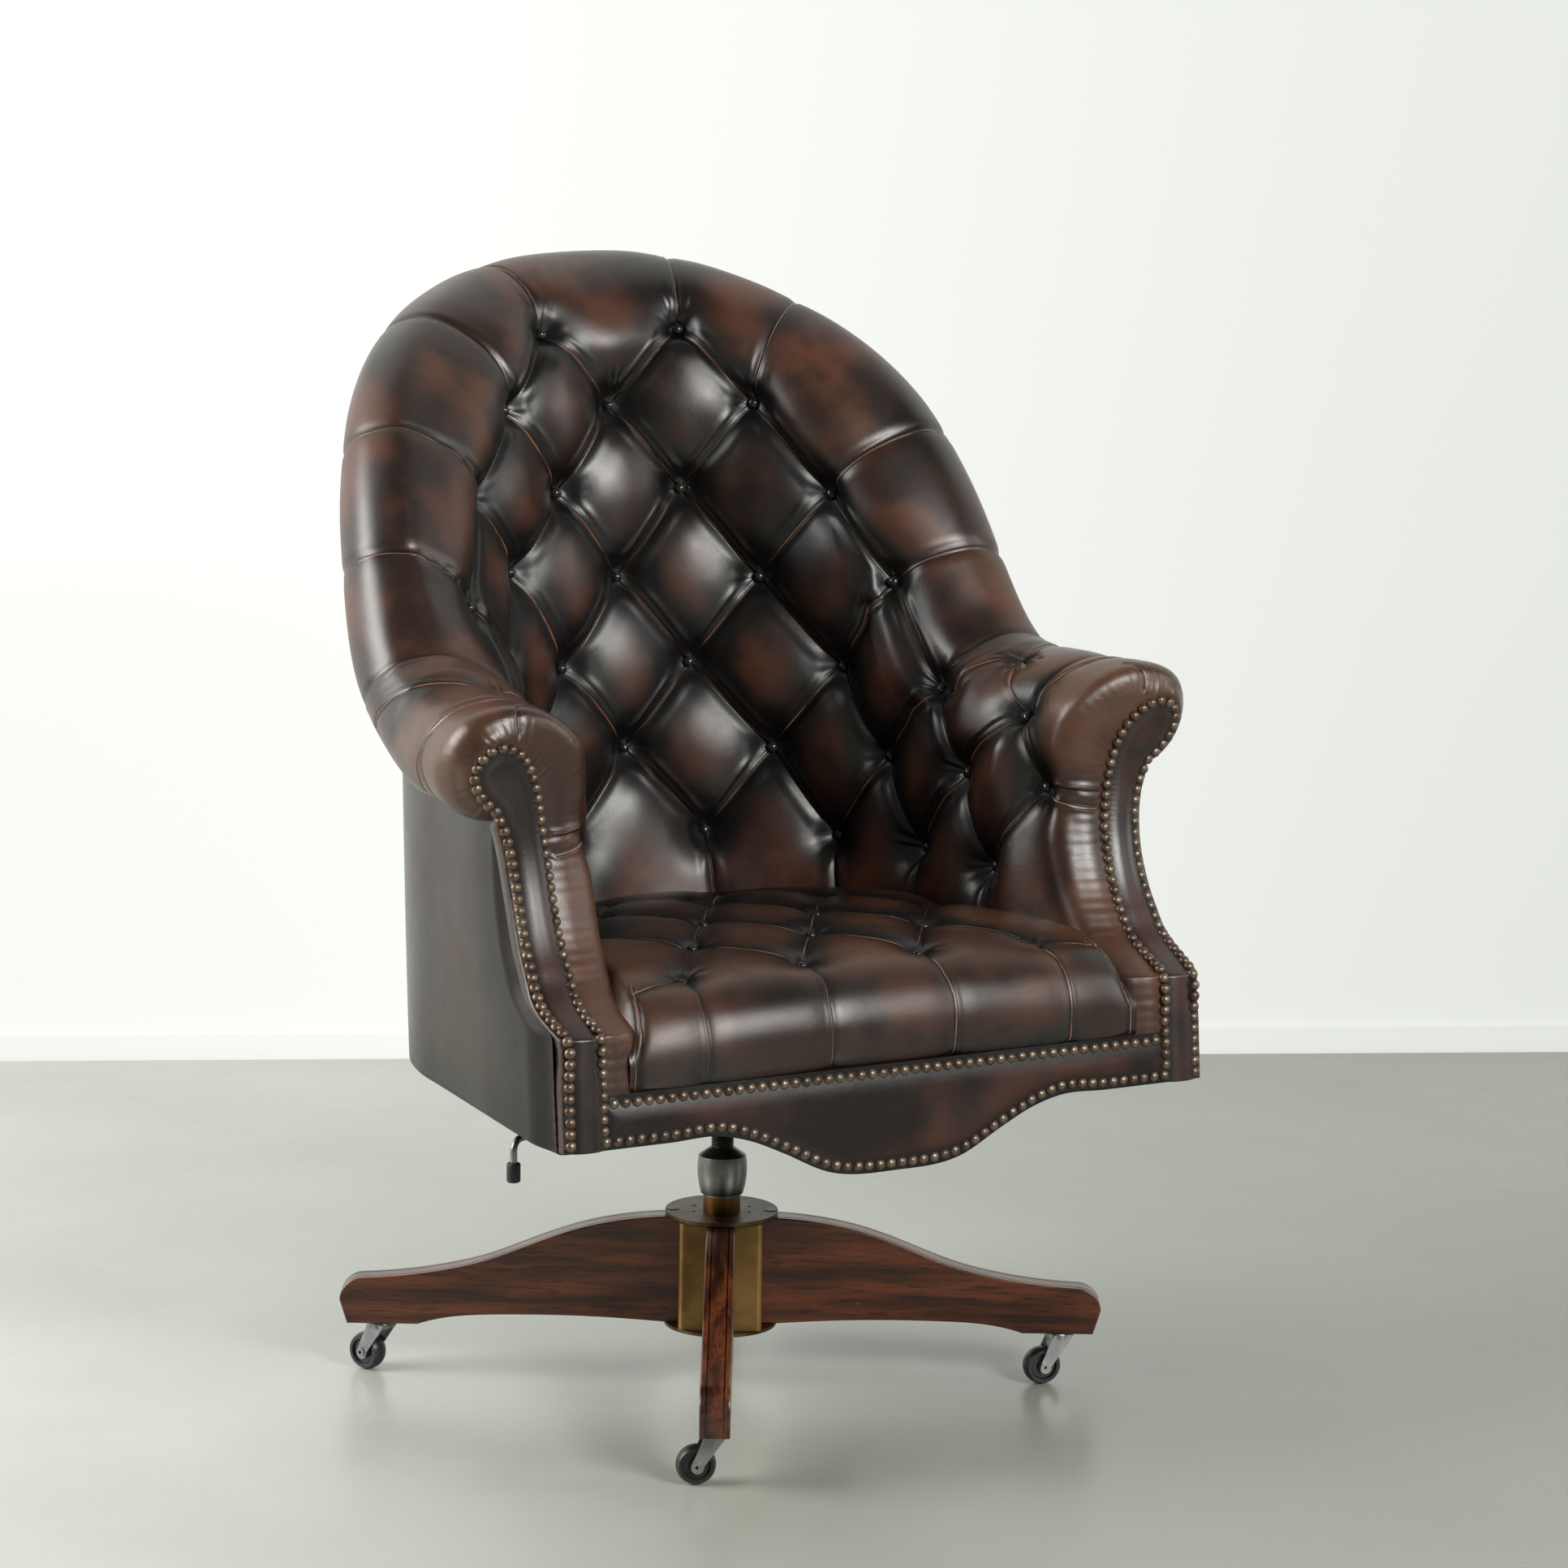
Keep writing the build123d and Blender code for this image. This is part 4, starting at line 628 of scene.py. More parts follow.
# Buttons: run and level on the hollow line. Folds join them, and those of the rim go over the roll. Folds of
# the arms are places on the right arm: towards a gather on the roll, over the roll and to the facing.
tufting = {
    "wells": {"f1": (75, 1003), "e0": (0, 925), "e2": (143, 928), "d1": (69, 843), "d3": (216, 843),
              "c0": (0, 757), "c2": (144, 757), "c4": (283, 764), "b1": (72, 672), "b3": (225.5, 672),
              "b5": (350.8, 665), "a0": (0, 588), "a2": (152, 588), "a4": (279, 588), "a6": (397, 588),
              "a8": (508, 588), "z1": (80, 504), "z3": (218, 504), "z5": (332, 504), "z7": (445, 504),
              "b7": (475, 661)},
    "left": {"c2": (144, 772), "b3": (222, 690), "d3": (216, 850), "c4": (285, 760)},  # those that differ
    "folds": "f1-e0 f1-e2 e0-d1 e2-d1 e2-d3 d1-c0 d1-c2 d3-c2 d3-c4 c0-b1 c2-b1 c2-b3 c4-b3 c4-b5 b1-a0 "
             "b1-a2 b3-a2 b3-a4 b5-a4 b5-a6 b7-a6 b7-a8 a0-z1 a2-z1 a2-z3 a4-z3 a4-z5 a6-z5 a6-z7 a8-z7",
    # where a fold ends over the roll, as a share of the line's length, and its shifts at the right and left
    "overRoll": {"f1": (0.90, -8, -8), "e2": (0.93, 3, 3), "d3": (0.93, 8, -4), "c4": (0.93, 10, -9),
                 "b5": (0.90, 2, -20), "b7": (0.93, 26, 26)},
    "gather": (279.0, -80, 704),
    "arm": (  # places, depths, width, and the side of the lip
        ([(218, -36, 669), (231, -41, 686), (244, -49, 695), (257, -57, 700), (269, -66, 702),
          (278, -80, 703)], (20, 6, 4, 4, 6), 24, 1),
        ([(278, -80, 703), (255, -93, 690), (243, -111, 679), (238, -131, 670), (236, -145, 663)],
         (6, 4, 5, 18), 22, -1),
        ([(236, -146, 662), (245, -147, 677), (259, -147, 688), (276, -150, 697), (296, -156, 705),
          (330, -160, 709), (353, -158, 704), (372, -146, 688), (383, -128, 664), (381, -108, 636),
          (366, -96, 616)], (18, 5, 3.4, 3, 3, 3), 20, 1),
        ([(278, -80, 703), (300, -72, 710), (325, -62, 711), (352, -44, 705), (372, -22, 690), (382, 2, 668),
          (378, 22, 645)], (7, 3.4, 3, 3, 2.6), 20, 1),
        ([(238, -176, 596), (248, -192, 595), (262, -201, 593), (279, -203, 591), (294, -202, 590)],
         (14, 3, 1.6, 1.4), 14, 1),
        ([(238, -174, 588), (248, -190, 582), (262, -200, 578), (279, -204, 575), (294, -203, 574)],
         (14, 4, 2.6, 2.4), 16, -1),
        ([(318, -193, 710), (327, -203, 711), (330, -217, 704), (330, -218, 691), (329, -216, 683)],
         (2, 2.6, 2.6, 2.2), 12, 1))}
wellPlaces = tufting["wells"]


def nearest(place):
    # the grid's station and row nearest to a place
    gap = np.linalg.norm(base - place, axis=-1)
    return np.array(np.unravel_index(np.argmin(gap), gap.shape), float)


def gridAt(spots):
    # places on the base at fractional grid positions, by weighting the four corners
    i = np.clip(spots[:, 0], 0, base.shape[0] - 1.001)
    j = np.clip(spots[:, 1], 0, base.shape[1] - 1.001)
    a, b = i.astype(int), j.astype(int)
    u, v = (i - a)[:, None], (j - b)[:, None]
    return (base[a, b] * (1 - u) * (1 - v) + base[a + 1, b] * u * (1 - v) + base[a, b + 1] * (1 - u) * v
            + base[a + 1, b + 1] * u * v)


class Press:
    # what is pressed into a sheet: depth, signed distance to the nearest fold, distance to the nearest button
    def __init__(self, points, normals):
        self.shape = points.shape[:2]
        self.points, self.normals = points.reshape(-1, 3), normals.reshape(-1, 3)
        count = len(self.points)
        self.depth, self.lift = np.zeros(count), np.zeros(count)
        self.fold, self.near = np.full(count, 60.0), np.full(count, 1e2)

    def within(self, line, room):
        # numbers of the points inside the line's box, made larger by the room
        inside = np.all((self.points > line.min(0) - room) & (self.points < line.max(0) + room), axis=1)
        return np.nonzero(inside)[0]

    def crease(self, line, depths, widths, lip=1.6, side=1.0, power=5, fullness=0.5, band=0.0):
        # depth times 1 - (x (2 - x)) ^ fullness, x = (sqrt(distance^2 + 2.5^2) - 2.5) / width; a lip stands
        # on the upper side, and beyond it a flat band of the tucked hide with its own small edge
        which = self.within(line, max(widths) + 2)
        if not len(which):
            return
        p, n = self.points[which], self.normals[which]
        best, share, sign = np.full(len(which), 1e9), np.zeros(len(which)), np.ones(len(which))
        run = along(line)
        for k in range(len(line) - 1):
            a, d = line[k], line[k + 1] - line[k]
            t = np.clip(((p - a) @ d) / (d @ d), 0, 1)
            gap = p - a - t[:, None] * d
            r = np.linalg.norm(gap, axis=1)
            closer = r < best
            best = np.where(closer, r, best)
            share = np.where(closer, (run[k] + t * (run[k + 1] - run[k])) / run[-1], share)
            sign = np.where(closer, np.sign(np.einsum("ij,ij->i", np.cross(d, gap), n)), sign)
        depth = curveThrough(np.linspace(0, 1, len(depths)), np.array(depths, float)[:, None], share)[:, 0]
        width = np.interp(share, np.linspace(0, 1, len(widths)), widths)
        x = np.clip((np.sqrt(best ** 2 + 2.5 ** 2) - 2.5) / width, 0, 1)
        press = depth * (1 - np.clip(x * (2 - x), 0, 1) ** fullness)
        self.depth[which] = (self.depth[which] ** power + press ** power) ** (1 / power)
        away = best * sign * side
        ends = smoothStep(0, 0.06, share) * smoothStep(0, 0.03, 1 - share)
        self.lift[which] += 0.8 * lip * ends * swell(away, 3.0, 2.3)
        middle = smoothStep(0.10, 0.3, share) * smoothStep(0.10, 0.3, 1 - share)
        self.lift[which] += band * middle * (0.9 * swell(away, 9.5, 2.6) - 0.5 * swell(away, 6.2, 1.9))
        closer = (best < np.abs(self.fold[which])) & (share > 0.001) & (share < 0.999)
        signed = np.where(np.abs(away) < 1e-6, 1e-6, away)
        self.fold[which] = np.where(closer, signed, self.fold[which])

    def well(self, place, depth, radius=15.0, gathers=9, seed=0, height=1.1, fan=None):
        # a funnel, depth exp(-(r/radius)^1.5), with small folds that ray out from it
        which = self.within(np.array([place]), 70.0)
        n, gap = self.normals[which], self.points[which] - place
        r = np.linalg.norm(gap, axis=1)
        axis = n[np.argmin(r)]
        first = np.cross(axis, [0.0, 0.0, 1.0])
        first /= max(np.linalg.norm(first), 1e-6)
        second = np.cross(axis, first)
        angle = np.arctan2(gap @ second, gap @ first)
        press = depth * np.exp(-(r / radius) ** 1.5)
        self.depth[which] = (self.depth[which] ** 4 + press ** 4) ** 0.25
        rng = np.random.default_rng(seed)
        wave = sum(a * np.cos(k * angle + rng.uniform(0, 6.28)) for k, a in
                   ((gathers, 1.0), (gathers + 4, 0.7), (gathers - 3, 0.8)))
        wave = wave * (0.45 + 0.55 * np.cos(angle - rng.uniform(0, 6.28)))
        self.lift[which] += height * wave * swell(r, 13, 9) * np.clip(r / 6, 0, 1)
        if fan:  # longer creases to one side, thinning out
            ray = smoothStep(0.75, 0.98, np.cos(angle - math.copysign(math.pi / 2, second[2])))
            self.lift[which] += fan * np.cos(26 * angle) * ray * swell(r, 22, 13)
        self.near[which] = np.minimum(self.near[which], r)

    def capped(self, most):
        # depth / (1 + (depth / most)^4)^(1/4): where folds meet it goes no deeper than the button
        self.depth = self.depth / (1 + (self.depth / most) ** 4) ** 0.25

    def rounded(self, sigma):
        # away from folds and buttons the depth becomes its mean over neighbours, which takes out the ridges
        soft = self.depth.reshape(self.shape)
        for axis in (0, 1):
            soft = blurred(soft, axis, 14, sigma, mode="edge")
        share = smoothStep(4, 16, np.abs(self.fold)) * smoothStep(12, 26, self.near)
        self.depth = self.depth * (1 - share) + soft.ravel() * share

    def pressed(self):
        # the sheet's points moved along their normals by lift - depth
        return (self.points + self.normals * (self.lift - self.depth)[:, None]).reshape(*self.shape, 3)

    def marks(self, thick, wear, most, high, shaded=0.0):
        # what the shader reads: depth over the padding's thickness plus any painted shade given as shaded,
        # distances to folds and wells, and wear, which is drawn down by a share where it sinks
        depth = self.depth.reshape(self.shape)
        worn = wear * (1 - most * smoothStep(0.0, 0.5, depth / high))
        return {"sunk_and_shade": depth / thick + shaded, "fold": self.fold.reshape(self.shape), "worn": worn,
                "near": self.near.reshape(self.shape), "gap": np.abs(self.fold).reshape(self.shape)}


press = Press(base, baseNormal)
feet, buttonSpots = {}, []  # grid positions of the wells by their name and side, and the buttons in them
for key, (run, level) in wellPlaces.items():
    for side in ((1, -1) if run else (1,)):
        if side < 0:
            run, level = tufting["left"].get(key, (run, level))
        at = np.array(side * run, float)
        place = wallPoint(at, wingOut(at, level), float(level))
        foot = nearest(place)
        feet[key, side] = foot
        spot = gridAt(foot[None])[0]
        depth = min(max(np.linalg.norm(place - spot), 21.0), 30.0)
        if (key, side) == ("c4", -1):
            depth = 16.5
        seed = sum(map(ord, key)) * 7 + side
        press.well(spot, depth + 2, seed=seed, gathers=8 + seed % 4, height=0.8 if run > 300 else 0.3,
                   fan=0.5 if key in ("e0", "f1") else None)
        normal = baseNormal[int(foot[0]), int(foot[1])]
        buttonSpots.append((spot - normal * (depth + 1.0), normal))


def gridLine(first, last, bow=0.0):
    # a line between two grid positions, bowed sideways by a sine of that height
    t = np.linspace(0, 1, 70)[:, None]
    across = np.array([-(last - first)[1], (last - first)[0]])
    return gridAt(first * (1 - t) + last * t + across * bow * np.sin(np.pi * t))


def follow(places, count=30):
    # the line on the sheet under a line of places: the grid place nearest to each, softened between the ends
    spots = []
    for place in spaced(places, count):
        if spots:
            i, j = max(int(spots[-1][0]) - 16, 0), max(int(spots[-1][1]) - 22, 0)
            gap = np.linalg.norm(base[i:i + 33, j:j + 45] - place, axis=-1)
            a, b = np.unravel_index(np.argmin(gap), gap.shape)
            spots.append((i + a, j + b))
        else:
            spots.append(tuple(nearest(place)))
    spots = np.array(spots, float)
    smooth = np.stack([softened(spots[:, k], 1.0, 3.2) for k in range(2)], -1)
    share = smoothStep(0, 0.12, np.linspace(0, 1, count)) * smoothStep(0, 0.12, np.linspace(1, 0, count))
    return gridAt(spots * (1 - share[:, None]) + smooth * share[:, None])


for one, two in (pair.split("-") for pair in tufting["folds"].split()):
    for side in (1, -1) if wellPlaces[one][0] or wellPlaces[two][0] else (1,):
        line = follow(gridAt(np.array([feet[key, side if wellPlaces[key][0] else 1] for key in (one, two)])))
        if line[0][2] < line[-1][2]:
            line = line[::-1]
        a = nearest(line[len(line) // 2]).astype(int)
        across = np.cross(line[-1] - line[0], baseNormal[a[0], a[1]])
        slash = side * (wellPlaces[two][0] - wellPlaces[one][0]) < 0
        press.crease(line, (25, 18, 16, 18, 25), (52, 56, 52), side=-1.0 if across[2] > 0 else 1.0, power=2.2,
                     fullness=0.62, band=1.0 if slash else 0.35)
for key, (end, *shifts) in tufting["overRoll"].items():
    for side, shift in ((1, shifts[0]), (-1, shifts[1])):
        foot = feet[key, side]
        step = 2 * lastStation / (sheet["stations"] - 1)
        last = np.array([foot[0] + side * shift / step, end * sheet["rows"]])
        press.crease(gridLine(foot, last, bow=0.02 * side), (22, 9, 5.2, 4.2, 3.8, 2.6), (36, 30, 26, 24),
                     power=3, side=side if key == "f1" else -side)
for key in ("z1", "z3", "z5", "z7"):
    for side in (1, -1):
        foot = feet[key, side]
        line = gridLine(foot, np.array([foot[0] + side * 3, 0.0]))
        press.crease(line, (22, 11, 8, 7), (26, 24), lip=1.2, side=side)
for places, depths, width, way in tufting["arm"]:
    for side in (1, -1):
        line = follow(np.array(places, float) * np.array([side, 1, 1]), 34)
        press.crease(line, depths, (width, width), lip=1.3, side=way * side)
for side in (1, -1):
    gather = nearest(np.array(tufting["gather"]) * np.array([side, 1, 1]))
    press.well(gridAt(gather[None])[0], 8, 12.0, 11, 77, 1.6)
tightPlace = gridAt(feet["c4", -1][None])[0]
press.capped(31 - 13 * swell(np.linalg.norm(press.points - tightPlace, axis=1), 0, 55))
rowLength = along(base[20])
pucker = (np.cos(rowLength * 2 * np.pi / 10.2) + 0.7 * np.cos(rowLength * 2 * np.pi / 15.7 + 1.0)
          + 0.5 * np.sin(rowLength / 9.0))
press.lift += (0.11 * (smoothStep(0, 2, fromEnd) * smoothStep(22, 5, fromEnd))[:, None] * pucker).ravel()
press.rounded(5.0)
dressed = press.pressed()
dressedNormal = gridNormals(dressed, (len(base) // 2, 40), (0, -1, 0))
run = np.linspace(-1, 1, base.shape[0])[:, None] + 0 * base[..., 0]
wear = smoothStep(0.60, 0.78, np.abs(run)) * (0.35 + 0.65 * smoothStep(628, 690, base[..., 2]))
marks = press.marks(26, wear, 0.5, 26)
cuts = [0, base.shape[0] // 3, 2 * base.shape[0] // 3, base.shape[0]]
parts = (("left_leather", cuts[0], cuts[1] + 1, ("left_inside_arm", "roll_padding")),
         ("back_leather", cuts[1], cuts[2] + 1, ("inside_back",)),
         ("right_leather", cuts[2], cuts[3], ("right_inside_arm",)))
for name, first, last, replaced in parts:
    piece, normals = dressed[first:last], dressedNormal[first:last]
    quads = outward(gridQuads(*piece.shape[:2]), piece, normals)
    obj = putMesh(name, piece, quads, {k: v[first:last] for k, v in marks.items()}, normals)
    finished(obj, "seat", finishes["tufted_hide"], replaced)
print("stage: tufted leather", len(buttonSpots), "buttons")

dome = {"around": 14, "rings": 5, "skirt": 0.6}


def domes(name, spots, radius, high, body, material, replaced=()):
    # a low dome at each place, square to its direction: x, y = r sin(a), height = h cos(a)
    around = dome["around"]
    angle = np.linspace(0, np.pi / 2, dome["rings"])
    turn = np.arange(around) * 2 * np.pi / around
    radii = radius * np.append(np.sin(angle), 1.0)[:, None]
    heights = np.append(high * np.cos(angle), -dome["skirt"])[:, None]
    cap = np.stack([radii * np.cos(turn), radii * np.sin(turn), heights + 0 * turn], -1)
    quads = gridQuads(len(heights), around, True)
    points, faces = [], []
    for k, (place, way) in enumerate(spots):
        w = np.asarray(way, float) / np.linalg.norm(way)
        u = np.cross(w, [0.0, 0.0, 1.0] if abs(w[2]) < 0.9 else [1.0, 0.0, 0.0])
        u /= np.linalg.norm(u)
        points.append((cap @ np.stack([u, np.cross(w, u), w])).reshape(-1, 3) + place)
        faces.append(quads + k * cap.shape[0] * around)
    obj = putMesh(name, np.concatenate(points), np.concatenate(faces)[:, ::-1])
    return finished(obj, body, material, replaced)


buttonHide = finishes["button_hide"]
domes("back_buttons_domed", buttonSpots, 5.6, 4.2, "seat", buttonHide, ("back_buttons",))

# The seat: a sheet over the top, over the front edge and down to the apron. Its profile is y and z from the
# back, and its wells are rows of y with the x of their buttons, the same on both sides.
seatPad = {
    "across": 230, "along": 250, "halfBehind": 215.0, "wider": 52,
    "profile": [(212, 424), (190, 440), (140, 455), (60, 468), (-60, 477), (-180, 479), (-250, 475),
                (-287, 463), (-308, 444), (-317, 422), (-318, 402), (-316, 386), (-306, 372)],
    "wells": {-255: (62, 187), -160: (0, 125), -65: (62, 187), 30: (0, 125), 118: (62,)}}


def seatSheet():
    # across from left to right; along from the back over the top, round the front edge and down. The half
    # width is the tub's circle behind, sqrt(215^2 - (y - centre)^2), and grows by 52 to the front
    across = np.linspace(-1, 1, seatPad["across"])[None, :]
    y, z = spaced(seatPad["profile"], seatPad["along"]).T[:, :, None]
    centre, radius = hollowCentre + (460 - tub["leanLevel"]) * leanSlope, seatPad["halfBehind"]
    half = np.where(y > centre, np.sqrt(np.clip(radius ** 2 - (y - centre) ** 2, 20 ** 2, None)), radius)
    half = np.maximum(half, 30) + seatPad["wider"] * smoothStep(centre, -290, y)
    edge = smoothStep(0.90, 1.0, np.abs(across))
    top = z - 10 * np.abs(across) ** 2.4 - 26 * edge ** 2 * smoothStep(400, 470, z)
    back = 7 * np.abs(across) ** 6 * smoothStep(-240, -300, y)
    return np.stack([across * half, y + back + 0 * top, top], -1)


def seatLine(path):
    # a line on the seat sheet through given places, by the nearest points
    spots = []
    for place in spaced(path, 26):
        gap = np.linalg.norm(seat - place, axis=-1)
        spots.append(seat[np.unravel_index(np.argmin(gap), gap.shape)])
    spots = np.array(spots)
    return np.stack([softened(spots[:, k], 1.0, 0.8) for k in range(3)], -1)


seat = seatSheet()
seatMiddle = seatPad["across"] // 2
seatNormal = gridNormals(seat, (80, seatMiddle), (0, 0, 1))
seatPress = Press(seat, seatNormal)
seatSpots, seatWells = [], {}
for y, columns in seatPad["wells"].items():
    for x in sorted({s * c for c in columns for s in (1, -1)}):
        gap = np.hypot(seat[..., 0] - x, seat[..., 1] - y) + 1e3 * (seat[..., 2] < 440)
        at = np.unravel_index(np.argmin(gap), gap.shape)
        seatWells[x, y] = seat[at]
        seatPress.well(seat[at], 13, 9.0, 8, int(abs(x) * 3 + abs(y)) + (x > 0), 0.5)
        seatSpots.append((seat[at] - seatNormal[at] * 11.0, seatNormal[at]))
for (x, y), spot in seatWells.items():
    for (u, v), other in seatWells.items():
        if v > y and v - y < 100 and abs(abs(u - x) - 62.5) < 3:
            t = np.linspace(0, 1, 14)[:, None]
            line = spot * (1 - t) + other * t
            line[:, 2] = np.interp(line[:, 1], *seat[::-1, seatMiddle, 1:][60:].T)
            seatPress.crease(line, (12, 8.5, 7.5, 8.5, 12), (46, 50, 46), lip=1.8, side=1 if u > x else -1,
                             power=2.2, fullness=0.6)
for x in (-187, -62, 62, 187):  # over the front edge
    path = [seatWells[x, -255], (x * 1.01, -292, 462), (x * 1.02, -314, 420), (x * 1.02, -318, 372)]
    seatPress.crease(seatLine(path), (13, 4.5, 3.6, 3.2, 3.0), (24, 20, 20), lip=1.7, side=-1 if x < 0 else 1)
for side in (-1, 1):  # along the corners, and from the outer wells to the arms
    path = np.array([(240, -262, 470), (256, -298, 455), (260, -314, 420), (261, -318, 372)]) * (side, 1, 1)
    seatPress.crease(seatLine(path), (2, 3.5, 3.5, 3.0), (16, 18), lip=0.6, side=side)
    for y in (-255, -65):
        path = [seatWells[side * 187, y], (side * 215, y - 12, 475), (side * 246, y - 20, 462)]
        seatPress.crease(seatLine(path), (13, 6, 4), (24, 22), lip=1.2, side=side)
seatPress.rounded(3.0)
dressedSeat = seatPress.pressed()
wear = smoothStep(448, 474, seat[..., 2]) * smoothStep(-40, -200, seat[..., 1]) * 0.8
# painted shade on the seat: darker low on the front face and far behind, under the back
shaded = 0.22 * smoothStep(430, 385, seat[..., 2]) * smoothStep(0, -250, seat[..., 1])
shaded = shaded + 0.16 * smoothStep(-90, 120, seat[..., 1])  # darker low in front and far behind
obj = putMesh("seat_leather", dressedSeat, outward(gridQuads(*seat.shape[:2]), dressedSeat, seatNormal),
              seatPress.marks(20, wear, 0.6, 17, shaded))
finished(obj, "seat", finishes["seat_hide"], ("seat_pad",))
domes("seat_buttons_domed", seatSpots, 5.0, 3.0, "seat", buttonHide, ("seat_buttons",))
print("stage: seat")

# Facings: the panel between the nail rows, padded a little, with its edge turned back to the side
facing = {
    "bottom": 331.5, "levelTop": 589.5, "ribs": 26, "stations": 240, "lowShare": 0.68, "raised": 4.4,
    "shoulder": 14, "skin": 0.6, "wear": {1: 0.25, -1: 0.45},
    "turned": [(0.5, 0.0), (0.93, 0.0), (1.1, 0.7), (1.2, 2.6), (1.2, 8.0), (1.1, 16.0), (0.6, 18.0)]}


def rowsPaired(count):
    # two lines that meet at the scroll's far point: level with level up to 589.5, then by shares of length
    low = np.linspace(facing["bottom"], facing["levelTop"], int(count * facing["lowShare"]))
    paths = []
    for row, x, scroll in ((innerRow, 296.0, scrollRow[:6]), (outerRow, 328.3, scrollRow[8:4:-1])):
        knots = np.array([(x, facing["bottom"])] + row)
        level = np.stack([curveThrough(knots[:, 1], knots[:, :1], low)[:, 0], low], -1)
        start = (298.9, 589.5) if row is innerRow else tuple(level[-1])
        head = spaced([start] + [p for p in row if p[1] > 590] + scroll, count - len(low) + 1)[1:]
        paths.append(np.concatenate([level, head]))
    return paths


def facingPanel(side):
    # ribs across; raised 4.4 (1 - (1 - d/14)^2), d the distance to the nearer row of nails. Beyond the outer
    # row the leather goes on to the side, as far as the scroll's neck, and turns back
    count = facing["stations"]
    inPath, outPath = rowsPaired(count)
    t = np.linspace(0, 1, facing["ribs"])[:, None, None]
    flat = inPath * (1 - t) + outPath * t
    toIn, toOut = (np.min(np.linalg.norm(flat[:, :, None] - path[None, None, ::3], axis=-1), axis=2)
                   for path in (inPath, outPath))
    near = np.minimum(toIn, toOut)
    raised = facing["raised"] * (1 - (1 - np.clip(near / facing["shoulder"], 0, 1)) ** 2)
    x, z = outPath.T
    reach = np.where(z < 600, 6.0, np.clip(6.0 - (z - 600) * 0.3, 0.5, 6.0))
    reach = np.where(np.arange(count) > int(count * 0.80), 0.5, reach)
    steps = np.array(facing["turned"])
    strip = np.stack([np.stack([side * (x + reach * dx), frontY(z) - facing["skin"] + dy * reach / 6, z], -1)
                      for dx, dy in steps])
    points = np.stack([side * flat[..., 0], frontY(flat[..., 1]) - raised - facing["skin"], flat[..., 1]], -1)
    points = np.concatenate([points, strip])
    near = np.concatenate([near, np.zeros((len(steps), count))])
    toOut = np.concatenate([toOut, np.abs(steps[:, :1] - 0.95) * 8 + np.zeros(count)])
    onStrip = (np.arange(len(points)) > facing["ribs"])[:, None]
    worn = 0.9 * swell(toOut, 0, 2.0) * onStrip * facing["wear"][side]
    quads = gridQuads(*points.shape[:2])[:, ::-side]
    return putMesh(("right" if side > 0 else "left") + "_facing_leather", points, quads,
                   {"rub_and_shade": 1 - np.clip(near / 12, 0, 1), "worn": worn, "polish": 1 + 0 * near})


for side, name in ((1, "right_arm_facing"), (-1, "left_arm_facing")):
    finished(facingPanel(side), "seat", finishes["facing_hide"], (name,))
print("stage: facings")

# Apron: leather on a board with a lobe in its lower edge, given as shares of its half width and of its drop
apron = {
    "half": 297, "columns": 280, "ribs": 26, "top": 379.0, "low": 331.8, "raised": 2.6, "shoulder": 18,
    "turned": [(0.9, -0.9), (3.0, -1.4), (8.0, -1.4), (36.0, -1.0), (36.5, 3.0)],
    "lobeHalf": 177.0, "lobeDrop": 49.5,
    "lobe": [(0.0, 1.0), (0.4, 0.87), (0.65, 0.44), (0.82, 0.17), (1.0, 0.0), (1.3, 0.0), (1.9, 0.0)]}


def lobe(x, level):
    # the lower edge's level: level - 49.5 times the lobe's share at x/177
    shares = np.array([(-a, b) for a, b in apron["lobe"][:0:-1]] + apron["lobe"])
    return level - apron["lobeDrop"] * curveThrough(shares[:, 0], shares[:, 1:],
                                                    np.asarray(x) / apron["lobeHalf"])[..., 0]


def apronPanel():
    # from the top row down to the lower edge, raised between the rows, and turned under the edge
    x = np.linspace(-apron["half"], apron["half"], apron["columns"])
    low = lobe(x, apron["low"])
    t = np.linspace(0, 1, apron["ribs"])[:, None]
    z = apron["top"] * (1 - t) + low * t
    fromTop, fromLow = 371 - z, z - (low + 6)
    near = np.where(fromTop < 0, 0, np.minimum(np.abs(fromTop), np.maximum(fromLow, 0)))
    near = np.minimum(near, np.clip(294 - np.abs(x), 0, None))
    raised = apron["raised"] * (1 - (1 - np.clip(near / apron["shoulder"], 0, 1)) ** 2)
    points = np.stack([x + 0 * z, frontPlane(z) - raised - 0.6, z], -1)
    points = np.concatenate([points, [points[-1] + np.array([0, dy, dz]) for dy, dz in apron["turned"]]])
    near = np.concatenate([near, np.zeros((len(apron["turned"]), len(x)))])
    return putMesh("apron_leather", points, gridQuads(*points.shape[:2]),
                   {"rub_and_shade": 1 - np.clip(near / 15, 0, 1), "worn": 0 * near, "polish": 0.7 + 0 * near})


finished(apronPanel(), "seat", finishes["facing_hide"], ("front_apron",))

# Nails: domes a pitch apart along each row


def nailed(line, side):
    # places at an even pitch along a line on the front surface, with the surface's direction there
    x, z = np.array(line, float).T
    path = np.stack([x, frontY(z), z], -1)
    spots = spaced(path, int(round(along(spaced(path, 300))[-1] / nailRows["pitch"])) + 1)
    levels = np.linspace(300, 730, 431)
    dy = np.interp(spots[:, 2], levels, np.gradient(frontY(levels), 1.0))
    ways = np.stack([0 * dy, -1 + 0 * dy, dy], -1)
    return list(zip(spots * np.array([side, 1, 1]) + ways * 0.5, ways))


